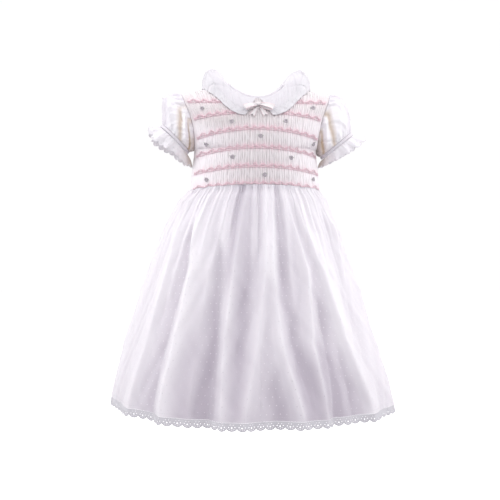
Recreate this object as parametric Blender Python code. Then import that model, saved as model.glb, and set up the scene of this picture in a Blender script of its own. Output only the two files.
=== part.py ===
"""Toddler dress: smocked front, frilled collar in two halves, puff sleeves and a gathered skirt.

Metres, +Z up. Height 0 is the neck-shoulder point where the dress hangs on its wearer, and the
front faces -Y. Each cloth piece is a thin wall: a grid of points on the outer side of the cloth,
and the same grid moved in by the cloth's thickness.
"""

import math

import bmesh
import bpy
import numpy as np

# Cloth
COTTON_WALL = 0.0014
LACE_WALL = 0.0010
RIBBON_WALL = 0.0010
SEAM_GAP = 0.0003

# Bodice
SECTION_POWER = 2.15
NECK_HALF_WIDTH = 0.0440
FRONT_NECK_DROP = 0.0290
BACK_NECK_DROP = 0.0200
NECK_CURVE_POWER = 0.80
SHOULDER_NECK_HEIGHT = -0.0030
SHOULDER_TIP_HEIGHT = -0.0165
SHOULDER_HALF_WIDTH = 0.1150
UNDERARM_HEIGHT = -0.1030
ARMHOLE_HALF_DEPTH = 0.0375
ARMHOLE_POWER = 2.2
FRONT_CHEST_TURN = -0.0850
BACK_CHEST_TURN = -0.0700
WAIST_SIDE_HEIGHT = -0.1650
FRONT_WAIST_ARCH = 0.0050
BACK_WAIST_ARCH = 0.0020
NECK_BAND_HEIGHT = 0.0042
NECK_BAND_LEAN = 0.45
LAP_HALF_WIDTH = 0.0070
LAP_RUN_OUT = 0.0200
LAP_RISE = 0.0022

SLOPE_STEP = 0.0004
INSIDE_BODICE = (0.0, 0.0, -0.0900)
INSIDE_NECK = (0.0, 0.0, -0.0100)

BODY_COLUMNS = ("height", "edge_x", "front_depth", "back_depth")
BODY_ROWS = (
    (-0.1720, 0.1008, 0.0745, 0.0700),
    (-0.1650, 0.1005, 0.0747, 0.0700),
    (-0.1330, 0.0977, 0.0755, 0.0705),
    (-0.1030, 0.0945, 0.0755, 0.0715),
    (-0.0860, 0.0950, 0.0745, 0.0720),
    (-0.0700, 0.0975, 0.0730, 0.0725),
    (-0.0550, 0.1013, 0.0710, 0.0725),
    (-0.0310, 0.1105, 0.0670, 0.0690),
    (-0.0165, 0.1150, 0.0640, 0.0660),
    (0.0100, 0.1150, 0.0600, 0.0620),
)
UNDERARM_LEVEL = 0.4175
BODICE_LEVELS = (0.0, 0.15, 0.29, UNDERARM_LEVEL, 0.475, 0.56, 0.68, 0.80, 0.91, 1.0)
NECK_SHARES = (0.0, 0.25, 0.5, 0.72, 0.88, 1.0)
SHOULDER_SHARES = (0.25, 0.55, 0.80, 1.0)

# Buttons on the centre back lap
BUTTON_RADIUS = 0.0046
BUTTON_THICKNESS = 0.0022
BUTTON_EDGE = 0.0006
BUTTON_SIDES = 12
BUTTON_HEIGHTS = (-0.0300, -0.0650, -0.1000, -0.1350)

# Sleeves
SLEEVE_COLUMNS = (
    "side", "name", "top_reach", "top_lift", "outer_puff", "cuff_x", "cuff_z", "cuff_tilt",
    "cuff_radius", "frill_outer", "frill_middle", "frill_inner",
)
SLEEVE_ROWS = (
    (1, "right", 0.031, 0.0020, 0.0150, 0.1260, -0.0925, 39.0, 0.0308, 0.0200, 0.0220, 0.0100),
    (-1, "left", 0.041, 0.0010, 0.0190, 0.1232, -0.0846, 45.0, 0.0295, 0.0185, 0.0190, 0.0135),
)
CUFF_Y = -0.0040
CUFF_BAND_WIDTH = 0.0050
INSIDE_SLEEVE = (0.1180, -0.0020, -0.0600)
SLEEVE_PUFF = 0.0100
SLEEVE_UNDER_PUFF_SHARE = 0.40
SLEEVE_TOP_POWER = 1.3
SLEEVE_UNDER_REACH = 0.0020
SLEEVE_CUFF_TOP_REACH = 0.0270
SLEEVE_CUFF_UNDER_REACH = 0.0030
SLEEVE_FOLD_COUNT = 7
SLEEVE_FOLD_HEIGHT = 0.0012
SLEEVE_COLUMNS_ROUND = 24
SLEEVE_LEVELS = 5
FRILL_OUTER_FLARE = 0.0120
FRILL_INNER_FLARE = 0.0045
FRILL_FLARE_POWER = 0.8
FRILL_WAVES = 12
FRILL_WAVE_HEIGHT = 0.0026
FRILL_COLUMNS_ROUND = 36

# Collar: a row for each station from centre front round the neck to centre back
COLLAR_COLUMNS = ("face", "neck_x", "neck_z", "edge_x", "edge_z", "stand")
COLLAR_ROWS = (
    (-1, 0.0030, -0.0285, 0.0200, -0.0570, 0.00),
    (-1, 0.0120, -0.0275, 0.0330, -0.0540, 0.00),
    (-1, 0.0220, -0.0235, 0.0470, -0.0445, 0.00),
    (-1, 0.0320, -0.0170, 0.0590, -0.0310, 0.05),
    (-1, 0.0400, -0.0100, 0.0710, -0.0195, 0.35),
    (0, 0.0450, -0.0030, 0.0810, -0.0100, 0.92),
    (1, 0.0400, -0.0080, 0.0740, -0.0230, 1.00),
    (1, 0.0300, -0.0140, 0.0600, -0.0400, 0.75),
    (1, 0.0190, -0.0180, 0.0420, -0.0500, 0.30),
    (1, 0.0100, -0.0195, 0.0240, -0.0540, 0.05),
)
COLLAR_SIDES = ((1, "right", 1.05), (-1, "left", 1.0))
INSIDE_COLLAR = (0.0600, 0.0, -0.0400)
COLLAR_STAND_HEIGHT = 0.0300
COLLAR_STAND_LEAN = 0.25
COLLAR_HUMP_POWER = 1.7
COLLAR_HUMP_LEAN = 1.15
COLLAR_CLEARANCE = 0.0034
COLLAR_START_CLEARANCE = 0.0021
COLLAR_CLEARANCE_SHARE = 0.33
COLLAR_CLOTH_SHARE = 0.68
COLLAR_SEAM_SHARE = 0.030
COLLAR_LACE_MIDDLE_SHARE = 0.86
COLLAR_STATIONS = 19
COLLAR_LEVELS = 5
COLLAR_LACE_STATIONS = 29
COLLAR_WAVE_LENGTH = 0.0220
COLLAR_WAVE_HEIGHT = 0.0016

# Bow at centre front
BOW_HEIGHT = -0.0400
BOW_CLEARANCE = 0.0044
BOW_KNOT_SIZE = (0.0070, 0.0070, 0.0080)
BOW_COLUMNS = ("name", "droop", "length", "width", "start", "lift")
BOW_ROWS = (
    ("bow_loop", 30.0, 0.0225, 0.0095, 0.0026, 0.0060),
    ("bow_tail", 64.0, 0.0200, 0.0080, 0.0048, 0.0012),
)
BOW_LOOP_STATIONS = 11
BOW_LOOP_PUFF = 0.0032
BOW_LOOP_NARROW_SHARE = 0.45
BOW_LOOP_FLAT_SHARE = 0.35
BOW_TAIL_STATIONS = 5
BOW_TAIL_NARROW_SHARE = 0.50
BOW_TAIL_DIP = 0.0027
BOW_TAIL_WAVE = 0.0006

# Skirt
SKIRT_COLUMNS = ("height", "half_width", "sway", "front_depth", "back_depth")
SKIRT_ROWS = (
    (-0.1600, 0.1003, 0.0000, 0.0747, 0.0700),
    (-0.1655, 0.1005, 0.0000, 0.0747, 0.0700),
    (-0.1800, 0.1110, -0.0012, 0.0830, 0.0790),
    (-0.2030, 0.1230, -0.0030, 0.0925, 0.0890),
    (-0.2270, 0.1345, -0.0040, 0.1010, 0.0970),
    (-0.2580, 0.1455, -0.0050, 0.1115, 0.1075),
    (-0.2900, 0.1565, -0.0055, 0.1205, 0.1165),
    (-0.3360, 0.1720, -0.0060, 0.1330, 0.1290),
    (-0.3980, 0.1920, -0.0060, 0.1480, 0.1440),
    (-0.4610, 0.2100, -0.0045, 0.1615, 0.1575),
    (-0.5000, 0.2165, -0.0035, 0.1680, 0.1640),
    (-0.5200, 0.2190, -0.0030, 0.1700, 0.1660),
)
HEM_FRONT_HEIGHT = -0.4990
HEM_BACK_HEIGHT = -0.4930
HEM_LEFT_HEIGHT = -0.4840
HEM_RIGHT_HEIGHT = -0.4930
LACE_HEIGHT = 0.0120
INSIDE_SKIRT = (0.0, 0.0, -0.3000)
SIDE_SEAM_ANGLE = 0.0012
SKIRT_FRONT_COLUMNS = 54
SKIRT_BACK_COLUMNS = 40
SKIRT_LEVELS = 8
SKIRT_LEVEL_POWER = 1.25
FOLD_START = 0.30
FOLD_MEAN = 0.45
FOLD_WAIST_SHARE = 0.35

# Folds: where the ridge runs, in degrees round the skirt (0 is centre front, positive to +X)
FOLD_COLUMNS = ("waist", "middle", "hem", "height", "half_width")
FOLD_ROWS = (
    (-62.0, -57.0, -64.0, 0.0090, 9.0),
    (-41.0, -36.0, -40.0, 0.0165, 7.0),
    (-31.0, -26.0, -28.0, 0.0080, 5.0),
    (-10.0, -13.0, -15.0, 0.0140, 5.0),
    (-3.0, -3.0, -4.0, 0.0070, 4.5),
    (6.0, 9.0, 17.0, 0.0160, 5.0),
    (16.0, 18.0, 28.0, 0.0080, 5.0),
    (28.0, 28.0, 36.0, 0.0110, 5.0),
    (43.0, 43.0, 50.0, 0.0130, 8.0),
    (63.0, 64.0, 67.0, 0.0090, 8.0),
    (88.0, 86.0, 88.0, 0.0100, 8.0),
    (106.0, 108.0, 105.0, 0.0130, 7.0),
    (124.0, 127.0, 126.0, 0.0150, 7.0),
    (142.0, 145.0, 148.0, 0.0130, 7.0),
    (160.0, 162.0, 166.0, 0.0160, 7.0),
    (180.0, 179.0, 184.0, 0.0140, 7.0),
    (200.0, 198.0, 202.0, 0.0135, 7.0),
    (217.0, 216.0, 219.0, 0.0160, 7.0),
    (236.0, 234.0, 237.0, 0.0130, 7.0),
    (254.0, 253.0, 254.0, 0.0125, 7.0),
    (274.0, 275.0, 274.0, 0.0100, 8.0),
)

# Finishes: base colour and roughness
FINISHES = {
    "smocked cotton": ((0.90, 0.84, 0.84, 1.0), 0.85),
    "dotted voile": ((0.90, 0.88, 0.91, 1.0), 0.80),
    "cotton lace": ((0.88, 0.86, 0.89, 1.0), 0.85),
    "satin ribbon": ((0.93, 0.84, 0.86, 1.0), 0.45),
    "shell button": ((0.93, 0.91, 0.88, 1.0), 0.30),
}


def column_of(rows, names, name):
    """Give one named column of a table."""
    return np.array([row[names.index(name)] for row in rows], float)


def read_table(rows, names, key, name, at):
    """Read a column at any value of the key column, on a smooth curve through its rows."""
    keys, values = column_of(rows, names, key), column_of(rows, names, name)
    if keys[0] > keys[-1]:
        keys, values = keys[::-1], values[::-1]
    slopes = np.gradient(values, keys)
    at = np.clip(at, keys[0], keys[-1])
    index = np.clip(np.searchsorted(keys, at, side="right") - 1, 0, len(keys) - 2)
    span = keys[index + 1] - keys[index]
    t = (at - keys[index]) / span
    rise = values[index + 1] - values[index]
    start, end = slopes[index] * span, slopes[index + 1] * span
    return values[index] + t * (
        start + t * (3 * rise - 2 * start - end + t * (start + end - 2 * rise))
    )


def body(name, height):
    """Read the bodice table at a height."""
    return read_table(BODY_ROWS, BODY_COLUMNS, "height", name, height)


def skirt(name, height):
    """Read the skirt table at a height."""
    return read_table(SKIRT_ROWS, SKIRT_COLUMNS, "height", name, height)


def smooth_step(value):
    """Ease from 0 to 1."""
    value = np.clip(value, 0.0, 1.0)
    return value * value * (3.0 - 2.0 * value)


def blend(first, last, share):
    """Run from the first value to the last."""
    return first + (last - first) * share


def rounded(share, power):
    """Height of a unit superellipse at a share of its half width."""
    return (1.0 - np.clip(np.abs(share), 0.0, 1.0) ** power) ** (1.0 / power)


def shoulder_height(x):
    """Height of the shoulder line, level across the neck."""
    run = SHOULDER_HALF_WIDTH - NECK_HALF_WIDTH
    share = np.clip((np.abs(x) - NECK_HALF_WIDTH) / run, 0.0, 1.0)
    return SHOULDER_NECK_HEIGHT + share * (SHOULDER_TIP_HEIGHT - SHOULDER_NECK_HEIGHT)


def neckline_height(x, drop):
    """Height of the cut edge of the neck in front or behind."""
    share = np.clip(np.abs(x) / NECK_HALF_WIDTH, 0.0, 1.0)
    fall = drop + SHOULDER_NECK_HEIGHT
    return SHOULDER_NECK_HEIGHT - fall * (1.0 - share**2) ** NECK_CURVE_POWER


def armhole_depth(height):
    """How far the armhole's edge lies in front of or behind the shoulder line."""
    middle = (SHOULDER_TIP_HEIGHT + UNDERARM_HEIGHT) / 2
    half = (SHOULDER_TIP_HEIGHT - UNDERARM_HEIGHT) / 2
    return ARMHOLE_HALF_DEPTH * rounded((height - middle) / half, ARMHOLE_POWER)


def body_depth(x, height, face):
    """Distance of the bodice from the plane of the side seams; face is -1 in front, 1 behind."""
    turn = FRONT_CHEST_TURN if face < 0 else BACK_CHEST_TURN
    name = "front_depth" if face < 0 else "back_depth"
    climb = np.clip((height - turn) / (shoulder_height(x) - turn), 0.0, 1.0)
    centre = body(name, height) * np.sqrt(1.0 - climb**2)
    edge = np.minimum(armhole_depth(height), centre)
    return edge + (centre - edge) * rounded(x / body("edge_x", height), SECTION_POWER)


def body_point(x, height, face, out=0.0):
    """A point on the front or back of the bodice, moved out square to the cloth."""
    step = SLOPE_STEP
    top = shoulder_height(x) - step
    height = np.minimum(height, top)
    depth = body_depth(x, height, face)
    slope_x = (body_depth(x + step, height, face) - body_depth(x - step, height, face)) / (2 * step)
    slope_z = (depth - body_depth(x, height - step, face)) / step
    normal = np.stack([-slope_x, face * np.ones_like(depth), -slope_z], axis=-1)
    normal /= np.linalg.norm(normal, axis=-1, keepdims=True)
    seat = np.stack([x + 0 * depth, face * depth, height + 0 * depth], axis=-1)
    return seat + np.asarray(out)[..., None] * normal


def centre_seat(height, face):
    """The bodice's centre line in front or behind: a point at a height and its outward normal."""
    seat = body_point(np.float64(0.0), np.float64(height), face)
    ahead = body_point(np.float64(0.0), np.float64(height), face, out=1.0)
    return seat, ahead - seat


def grid_normals(points, closed):
    """Unit normals of a grid of points; a closed grid wraps round its columns."""
    if closed:
        across = np.roll(points, -1, axis=1) - np.roll(points, 1, axis=1)
    else:
        across = np.gradient(points, axis=1)
    along = np.gradient(points, axis=0)
    normals = np.cross(across, along)
    return normals / np.linalg.norm(normals, axis=2, keepdims=True)


def finish(name):
    """Make or find a plain finish."""
    found = bpy.data.materials.get(name)
    if found:
        return found
    colour, roughness = FINISHES[name]
    material = bpy.data.materials.new(name)
    material.use_nodes = True
    shader = material.node_tree.nodes["Principled BSDF"]
    shader.inputs["Base Color"].default_value = colour
    shader.inputs["Roughness"].default_value = roughness
    shader.inputs["Metallic"].default_value = 0.0
    return material


def add_object(name, mesh_data, material_name, smooth=True):
    """Turn a bmesh into a named object with its finish."""
    mesh_data.normal_update()
    bmesh.ops.recalc_face_normals(mesh_data, faces=mesh_data.faces)
    mesh = bpy.data.meshes.new(name)
    mesh_data.to_mesh(mesh)
    mesh_data.free()
    if smooth:
        mesh.shade_smooth()
        mesh.set_sharp_from_angle(angle=math.radians(60))
    piece = bpy.data.objects.new(name, mesh)
    bpy.context.scene.collection.objects.link(piece)
    piece.data.materials.append(finish(material_name))
    return piece


def add_wall(name, outer, wall, material_name, inside, closed=False, level=()):
    """Make a cloth piece from the grid on its outer side.

    inside is a point on the hidden side of the grid's middle. level lists the parts of the grid
    that meet a neighbour, as (rows, columns, axis): the wall there is square to that axis.
    """
    normals = grid_normals(outer, closed)
    row, column = outer.shape[0] // 2, outer.shape[1] // 2
    if np.dot(outer[row, column] - np.array(inside), normals[row, column]) < 0:
        normals = -normals
    for rows, columns, axis in level:
        normals[rows, columns, axis] = 0.0
    normals /= np.linalg.norm(normals, axis=2, keepdims=True)
    inner = outer - wall * normals
    rows, columns = outer.shape[:2]
    mesh = bmesh.new()
    skins = []
    for points in (outer, inner):
        skins.append([[mesh.verts.new(point) for point in line] for line in points])
    spans = columns if closed else columns - 1
    for i in range(rows - 1):
        for j in range(spans):
            k = (j + 1) % columns
            for skin in skins:
                mesh.faces.new((skin[i][j], skin[i][k], skin[i + 1][k], skin[i + 1][j]))
    front, back = skins
    for j in range(spans):
        k = (j + 1) % columns
        for i in (0, rows - 1):
            mesh.faces.new((front[i][j], back[i][j], back[i][k], front[i][k]))
    if not closed:
        for i in range(rows - 1):
            for j in (0, columns - 1):
                mesh.faces.new((front[i][j], front[i + 1][j], back[i + 1][j], back[i][j]))
    return add_object(name, mesh, material_name)


def bodice_shares():
    """Columns of a bodice half as shares of its width, with one at the neck-shoulder point."""
    neck = NECK_HALF_WIDTH / SHOULDER_HALF_WIDTH
    inner = [neck * share for share in NECK_SHARES]
    outer = [neck + (1.0 - neck) * share for share in SHOULDER_SHARES]
    return np.array(inner + outer)


def bodice_grid(face, shares, drop, arch):
    """Grid of one bodice panel from the waist up to the neck and shoulder."""
    shares = np.asarray(shares, float)
    top = np.full(shares.shape, SHOULDER_TIP_HEIGHT)
    for _ in range(8):
        x = shares * body("edge_x", top)
        top = np.where(np.abs(x) < NECK_HALF_WIDTH, neckline_height(x, drop), shoulder_height(x))
    waist = WAIST_SIDE_HEIGHT + arch * (1.0 - shares**2)
    level = np.array(BODICE_LEVELS)[:, None]
    height = waist + (top - waist) * level
    x = shares * body("edge_x", height)
    depth = body_depth(x, height, face) + SEAM_GAP / 2
    return np.stack([x, face * depth, height], axis=-1)


def front_grid():
    """Grid of the front bodice."""
    half = bodice_shares()
    shares = np.concatenate([-half[:0:-1], half])
    return bodice_grid(-1, shares, FRONT_NECK_DROP, FRONT_WAIST_ARCH)


def lap_rise(x):
    """How far the right back half stands out over the left one near centre back."""
    return LAP_RISE * smooth_step((LAP_RUN_OUT - x) / (LAP_RUN_OUT - LAP_HALF_WIDTH))


def back_grid(side):
    """Grid of one back half from its lapped edge out to the side seam."""
    lap = LAP_HALF_WIDTH / SHOULDER_HALF_WIDTH
    shares = np.concatenate([[-lap], bodice_shares()]) * side
    back = bodice_grid(1, shares, BACK_NECK_DROP, BACK_WAIST_ARCH)
    if side > 0:
        out = grid_normals(back, False)
        out *= np.sign(out[1:2, 1:2, 1:2])
        back += lap_rise(back[:, :, :1]) * out
    return back


def build_bodice():
    """Smocked front and two plain back halves that lap at centre back."""
    front = front_grid()
    neck_edge = NECK_HALF_WIDTH - SEAM_GAP
    shoulders = np.abs(front[-1, :, 0]) > neck_edge
    below_arm = np.flatnonzero(np.array(BODICE_LEVELS) <= UNDERARM_LEVEL)[:, None]
    edges = [(below_arm, [0, -1], 1), (-1, shoulders, 1), (0, slice(None), 2)]
    add_wall("bodice_front", front, COTTON_WALL, "smocked cotton", INSIDE_BODICE, level=edges)
    for side, name in ((1, "right"), (-1, "left")):
        back = back_grid(side)
        shoulders = np.abs(back[-1, :, 0]) > neck_edge
        edges = [(below_arm, [-1], 1), (-1, shoulders, 1), (0, slice(None), 2)]
        piece = f"bodice_back_{name}"
        add_wall(piece, back, COTTON_WALL, "dotted voile", INSIDE_BODICE, level=edges)


def neck_ring():
    """Cut edge of the neck: right back lap, round the right side and the front, to the left lap."""
    count = len(NECK_SHARES)
    right, left = back_grid(1)[-1, : count + 1], back_grid(-1)[-1, : count + 1]
    front = front_grid()[-1]
    middle = front.shape[0] // 2
    front = front[middle - count + 1 : middle + count]
    right, left = right[:-1], left[:-1]
    front[[0, -1], 1] = 0.0
    return np.concatenate([right, front[::-1], left[::-1]])


def build_neck_band():
    """Narrow binding round the neck that laps with the back halves."""
    ring = neck_ring()
    inward = ring * np.array([-1.0, -1.0, 0.0])
    inward[:, 0] *= np.clip(np.abs(ring[:, 0]) / LAP_RUN_OUT, 0.0, 1.0)
    inward /= np.linalg.norm(inward, axis=1, keepdims=True)
    way = NECK_BAND_LEAN * inward + np.array([0.0, 0.0, 1.0])
    outer = np.stack([ring + 2 * SEAM_GAP * way, ring + NECK_BAND_HEIGHT * way])
    add_wall("neck_band", outer, COTTON_WALL, "dotted voile", INSIDE_NECK)


def add_button(name, height):
    """Small flat button on the centre back lap, square to the cloth."""
    seat, normal = centre_seat(height, 1)
    tilt = math.atan2(normal[2], normal[1])
    mesh = bmesh.new()
    bmesh.ops.create_cone(
        mesh,
        cap_ends=True,
        segments=BUTTON_SIDES,
        radius1=BUTTON_RADIUS,
        radius2=BUTTON_RADIUS - BUTTON_EDGE,
        depth=BUTTON_THICKNESS,
    )
    button = add_object(name, mesh, "shell button", smooth=False)
    button.rotation_euler = (tilt - math.pi / 2, 0.0, 0.0)
    button.location = seat + normal * (LAP_RISE + 2 * SEAM_GAP + BUTTON_THICKNESS / 2)


def build_buttons():
    """A row of buttons down the centre back."""
    for number, height in enumerate(BUTTON_HEIGHTS, start=1):
        add_button(f"back_button_{number}", height)


def armhole_ring(turn):
    """Points round the right armhole for angles from the shoulder tip towards the front."""
    middle = (SHOULDER_TIP_HEIGHT + UNDERARM_HEIGHT) / 2
    half = (SHOULDER_TIP_HEIGHT - UNDERARM_HEIGHT) / 2
    power = 2.0 / ARMHOLE_POWER
    up, ahead = np.cos(turn), np.sin(turn)
    height = middle + half * np.sign(up) * np.abs(up) ** power
    y = -ARMHOLE_HALF_DEPTH * np.sign(ahead) * np.abs(ahead) ** power
    return np.stack([body("edge_x", height), y, height], axis=-1)


def cuff_axes(values):
    """Directions of a right cuff: up its outer side, to the front, and along the arm."""
    tilt = math.radians(values["cuff_tilt"])
    outer = np.array([math.cos(tilt), 0.0, math.sin(tilt)])
    ahead = np.array([0.0, -1.0, 0.0])
    along = np.array([math.sin(tilt), 0.0, -math.cos(tilt)])
    return outer, ahead, along


def cuff_ring(values, turn, spread, down):
    """Points round a right arm at a distance down it from the cuff's seam."""
    outer, ahead, along = cuff_axes(values)
    centre = np.array([values["cuff_x"], CUFF_Y, values["cuff_z"]])
    radial = np.cos(turn)[:, None] * outer + np.sin(turn)[:, None] * ahead
    radius = values["cuff_radius"] + np.broadcast_to(spread, turn.shape)[:, None]
    down = np.broadcast_to(down, turn.shape)[:, None]
    return centre + radius * radial + down * along


def sleeve_grid(values):
    """Grid of a right puff sleeve from the armhole to the cuff."""
    turn = np.arange(SLEEVE_COLUMNS_ROUND) / SLEEVE_COLUMNS_ROUND * 2 * math.pi
    start = armhole_ring(turn)
    start[:, 0] += 2 * SEAM_GAP
    end = cuff_ring(values, turn, 0.0, 0.0)
    outer, ahead, along = cuff_axes(values)
    top = (1.0 + np.cos(turn))[:, None] / 2
    out_from_arm = np.stack([0 * turn, -np.sin(turn), np.cos(turn)], axis=-1)
    out_from_cuff = np.cos(turn)[:, None] * outer + np.sin(turn)[:, None] * ahead
    outward = top**SLEEVE_TOP_POWER
    reach = blend(SLEEVE_UNDER_REACH, values["top_reach"], outward)
    side = np.abs(np.sin(turn))[:, None]
    lift = values["top_lift"] * top + SLEEVE_PUFF * side * blend(SLEEVE_UNDER_PUFF_SHARE, 1.0, top)
    first = start + reach * np.array([1.0, 0.0, 0.0]) + lift * out_from_arm
    up_arm = blend(SLEEVE_CUFF_UNDER_REACH, SLEEVE_CUFF_TOP_REACH, outward)
    puff = values["outer_puff"] * top + SLEEVE_PUFF * side
    second = end - up_arm * along + puff * out_from_cuff
    share = np.linspace(0.0, 1.0, SLEEVE_LEVELS + 1)[:, None, None]
    grid = (
        (1 - share) ** 3 * start
        + 3 * share * (1 - share) ** 2 * first
        + 3 * share**2 * (1 - share) * second
        + share**3 * end
    )
    fold = np.cos(SLEEVE_FOLD_COUNT * turn)[None, :, None] * np.sin(math.pi * share) * top
    radial = (1 - share) * out_from_arm + share * out_from_cuff
    return grid + SLEEVE_FOLD_HEIGHT * fold * radial


def mirrored(grid, side):
    """Turn a right-hand grid into a left-hand one."""
    return grid * np.array([side, 1.0, 1.0])


def build_sleeves():
    """Puff sleeve, narrow cuff band and cuff frill on each side."""
    for row in SLEEVE_ROWS:
        values = dict(zip(SLEEVE_COLUMNS, row))
        side, name = values["side"], values["name"]
        grid = mirrored(sleeve_grid(values), side)
        inside = mirrored(np.array(INSIDE_SLEEVE), side)
        piece = f"sleeve_{name}"
        armhole = [(0, slice(None), 0)]
        add_wall(piece, grid, COTTON_WALL, "dotted voile", inside, closed=True, level=armhole)
        inside = (side * values["cuff_x"], CUFF_Y, values["cuff_z"])
        turn = np.arange(SLEEVE_COLUMNS_ROUND) / SLEEVE_COLUMNS_ROUND * 2 * math.pi
        ends = (2 * SEAM_GAP, CUFF_BAND_WIDTH)
        band = mirrored(np.stack([cuff_ring(values, turn, 0.0, down) for down in ends]), side)
        piece = f"cuff_band_{name}"
        add_wall(piece, band, COTTON_WALL, "dotted voile", inside, closed=True)
        frill = mirrored(frill_grid(values), side)
        add_wall(f"cuff_frill_{name}", frill, LACE_WALL, "cotton lace", inside, closed=True)


def frill_grid(values):
    """Grid of a right cuff frill, waved more towards its edge."""
    turn = np.arange(FRILL_COLUMNS_ROUND) / FRILL_COLUMNS_ROUND * 2 * math.pi
    ends = (values["frill_outer"] + values["frill_inner"]) / 2
    swing = (values["frill_outer"] - values["frill_inner"]) / 2
    width = ends + swing * np.cos(turn) + (values["frill_middle"] - ends) * np.sin(turn) ** 2
    flare = blend(FRILL_INNER_FLARE, FRILL_OUTER_FLARE, (1 + np.cos(turn)) / 2)
    rows = []
    for share in (0.0, 0.5, 1.0):
        wave = FRILL_WAVE_HEIGHT * share * np.cos(FRILL_WAVES * turn)
        down = CUFF_BAND_WIDTH + 2 * SEAM_GAP + width * share
        rows.append(cuff_ring(values, turn, flare * share**FRILL_FLARE_POWER + wave, down))
    return np.stack(rows)


def collar_stations(count):
    """Smooth columns of the collar table at evenly spaced stations."""
    index = np.arange(len(COLLAR_ROWS), dtype=float)
    at = np.linspace(0.0, index[-1], count)
    keyed = tuple((i,) + row for i, row in zip(index, COLLAR_ROWS))
    names = ("station",) + COLLAR_COLUMNS
    return {name: read_table(keyed, names, "station", name, at) for name in COLLAR_COLUMNS}


def collar_surface(count, shares, reach):
    """Grid of a right collar half: flat on the chest and back, standing up at the shoulder."""
    place = collar_stations(count)
    rows = []
    for share in shares:
        x = blend(place["neck_x"], reach * place["edge_x"], share)
        height = blend(place["neck_z"], place["edge_z"], share)
        clear = min(1.0, share / COLLAR_CLEARANCE_SHARE)
        rise = blend(COLLAR_START_CLEARANCE, COLLAR_CLEARANCE, clear)
        ahead = body_point(x, height, -1, rise)
        behind = body_point(x, height, 1, rise + lap_rise(x))
        back_share = smooth_step((place["face"] + 1.0) / 2.0)[:, None]
        flat = blend(ahead, behind, back_share)
        hump = rounded(2 * share**COLLAR_HUMP_LEAN - 1, COLLAR_HUMP_POWER)
        stand = place["stand"] * COLLAR_STAND_HEIGHT
        flat[:, 2] += stand * hump
        flat[:, 0] += COLLAR_STAND_LEAN * stand * hump * share
        rows.append(flat)
    return np.stack(rows)


def build_collar():
    """Two collar halves, each with a gathered lace edging."""
    cloth = np.linspace(0.0, COLLAR_CLOTH_SHARE, COLLAR_LEVELS)
    lace = np.array([COLLAR_CLOTH_SHARE + COLLAR_SEAM_SHARE, COLLAR_LACE_MIDDLE_SHARE, 1.0])
    for side, name, reach in COLLAR_SIDES:
        inside = mirrored(np.array(INSIDE_COLLAR), side)
        grid = mirrored(collar_surface(COLLAR_STATIONS, cloth, reach), side)
        add_wall(f"collar_{name}", grid, COTTON_WALL, "dotted voile", inside)
        edging = collar_surface(COLLAR_LACE_STATIONS, lace, reach)
        edge = edging[-1]
        run = np.concatenate([[0.0], np.cumsum(np.linalg.norm(np.diff(edge, axis=0), axis=1))])
        wave = np.sin(run / COLLAR_WAVE_LENGTH * 2 * math.pi)
        lift = grid_normals(edging, False)
        lift *= -np.sign(lift[1, 1, 1])
        push = np.linspace(0.0, 1.0, len(lace))[:, None] * (1.0 + wave[None, :])
        edging = edging + COLLAR_WAVE_HEIGHT * push[:, :, None] * lift
        add_wall(f"collar_lace_{name}", mirrored(edging, side), LACE_WALL, "cotton lace", inside)


def bow_frame():
    """Centre of the bow, and the directions out of, across and down the chest there."""
    seat, normal = centre_seat(BOW_HEIGHT, -1)
    across = np.array([1.0, 0.0, 0.0])
    down = np.cross(across, normal)
    return seat + normal * BOW_CLEARANCE, normal, across, -np.sign(down[2]) * down


def ribbon_grid(path, width, flow):
    """Grid of a ribbon: points along its middle, widened both ways along flow."""
    shares = np.array([-0.5, 0.0, 0.5])[:, None, None]
    return path[None] + shares * width[None, :, None] * flow[None, None]


def loop_profile(values):
    """Shares of a bow loop's length, its lift off the chest and its width, out and back."""
    turn = np.linspace(0.0, 2 * math.pi, BOW_LOOP_STATIONS + 2)[1:-1]
    outer = np.sin(turn / 2)
    lift = BOW_LOOP_PUFF * np.sin(turn) * blend(BOW_LOOP_FLAT_SHARE, 1.0, outer)
    return (1 - np.cos(turn)) / 2, lift, values["width"] * blend(BOW_LOOP_NARROW_SHARE, 1.0, outer)


def tail_profile(values):
    """Shares of a bow tail's length, its lift off the chest and its width."""
    share = np.linspace(0.0, 1.0, BOW_TAIL_STATIONS)
    lift = BOW_TAIL_WAVE * np.sin(2 * math.pi * share) - BOW_TAIL_DIP
    return share, lift, values["width"] * blend(BOW_TAIL_NARROW_SHARE, 1.0, share)


def build_bow():
    """Small ribbon bow: a knot, two loops and two tails that droop to the sides."""
    centre, normal, across, down = bow_frame()
    knot = bmesh.new()
    bmesh.ops.create_uvsphere(knot, u_segments=10, v_segments=6, radius=0.5)
    for vertex in knot.verts:
        share = np.array(vertex.co) * np.array(BOW_KNOT_SIZE)
        vertex.co = centre + share[0] * across + share[1] * normal - share[2] * down
    add_object("bow_knot", knot, "satin ribbon")
    for row in BOW_ROWS:
        values = dict(zip(BOW_COLUMNS, row))
        angle = math.radians(values["droop"])
        for side, name in ((1, "right"), (-1, "left")):
            way = math.cos(angle) * side * across + math.sin(angle) * down
            flow = -math.sin(angle) * side * across + math.cos(angle) * down
            inside = centre + (values["start"] + values["length"] / 2) * way
            if values["name"] == "bow_loop":
                share, lift, width = loop_profile(values)
            else:
                share, lift, width = tail_profile(values)
                inside = inside - values["length"] * normal
            reach = values["start"] + values["length"] * share
            lift = lift + values["lift"] * share
            path = centre + reach[:, None] * way + lift[:, None] * normal
            grid = ribbon_grid(path, width, flow)
            add_wall(f"{values['name']}_{name}", grid, RIBBON_WALL, "satin ribbon", inside)


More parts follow.
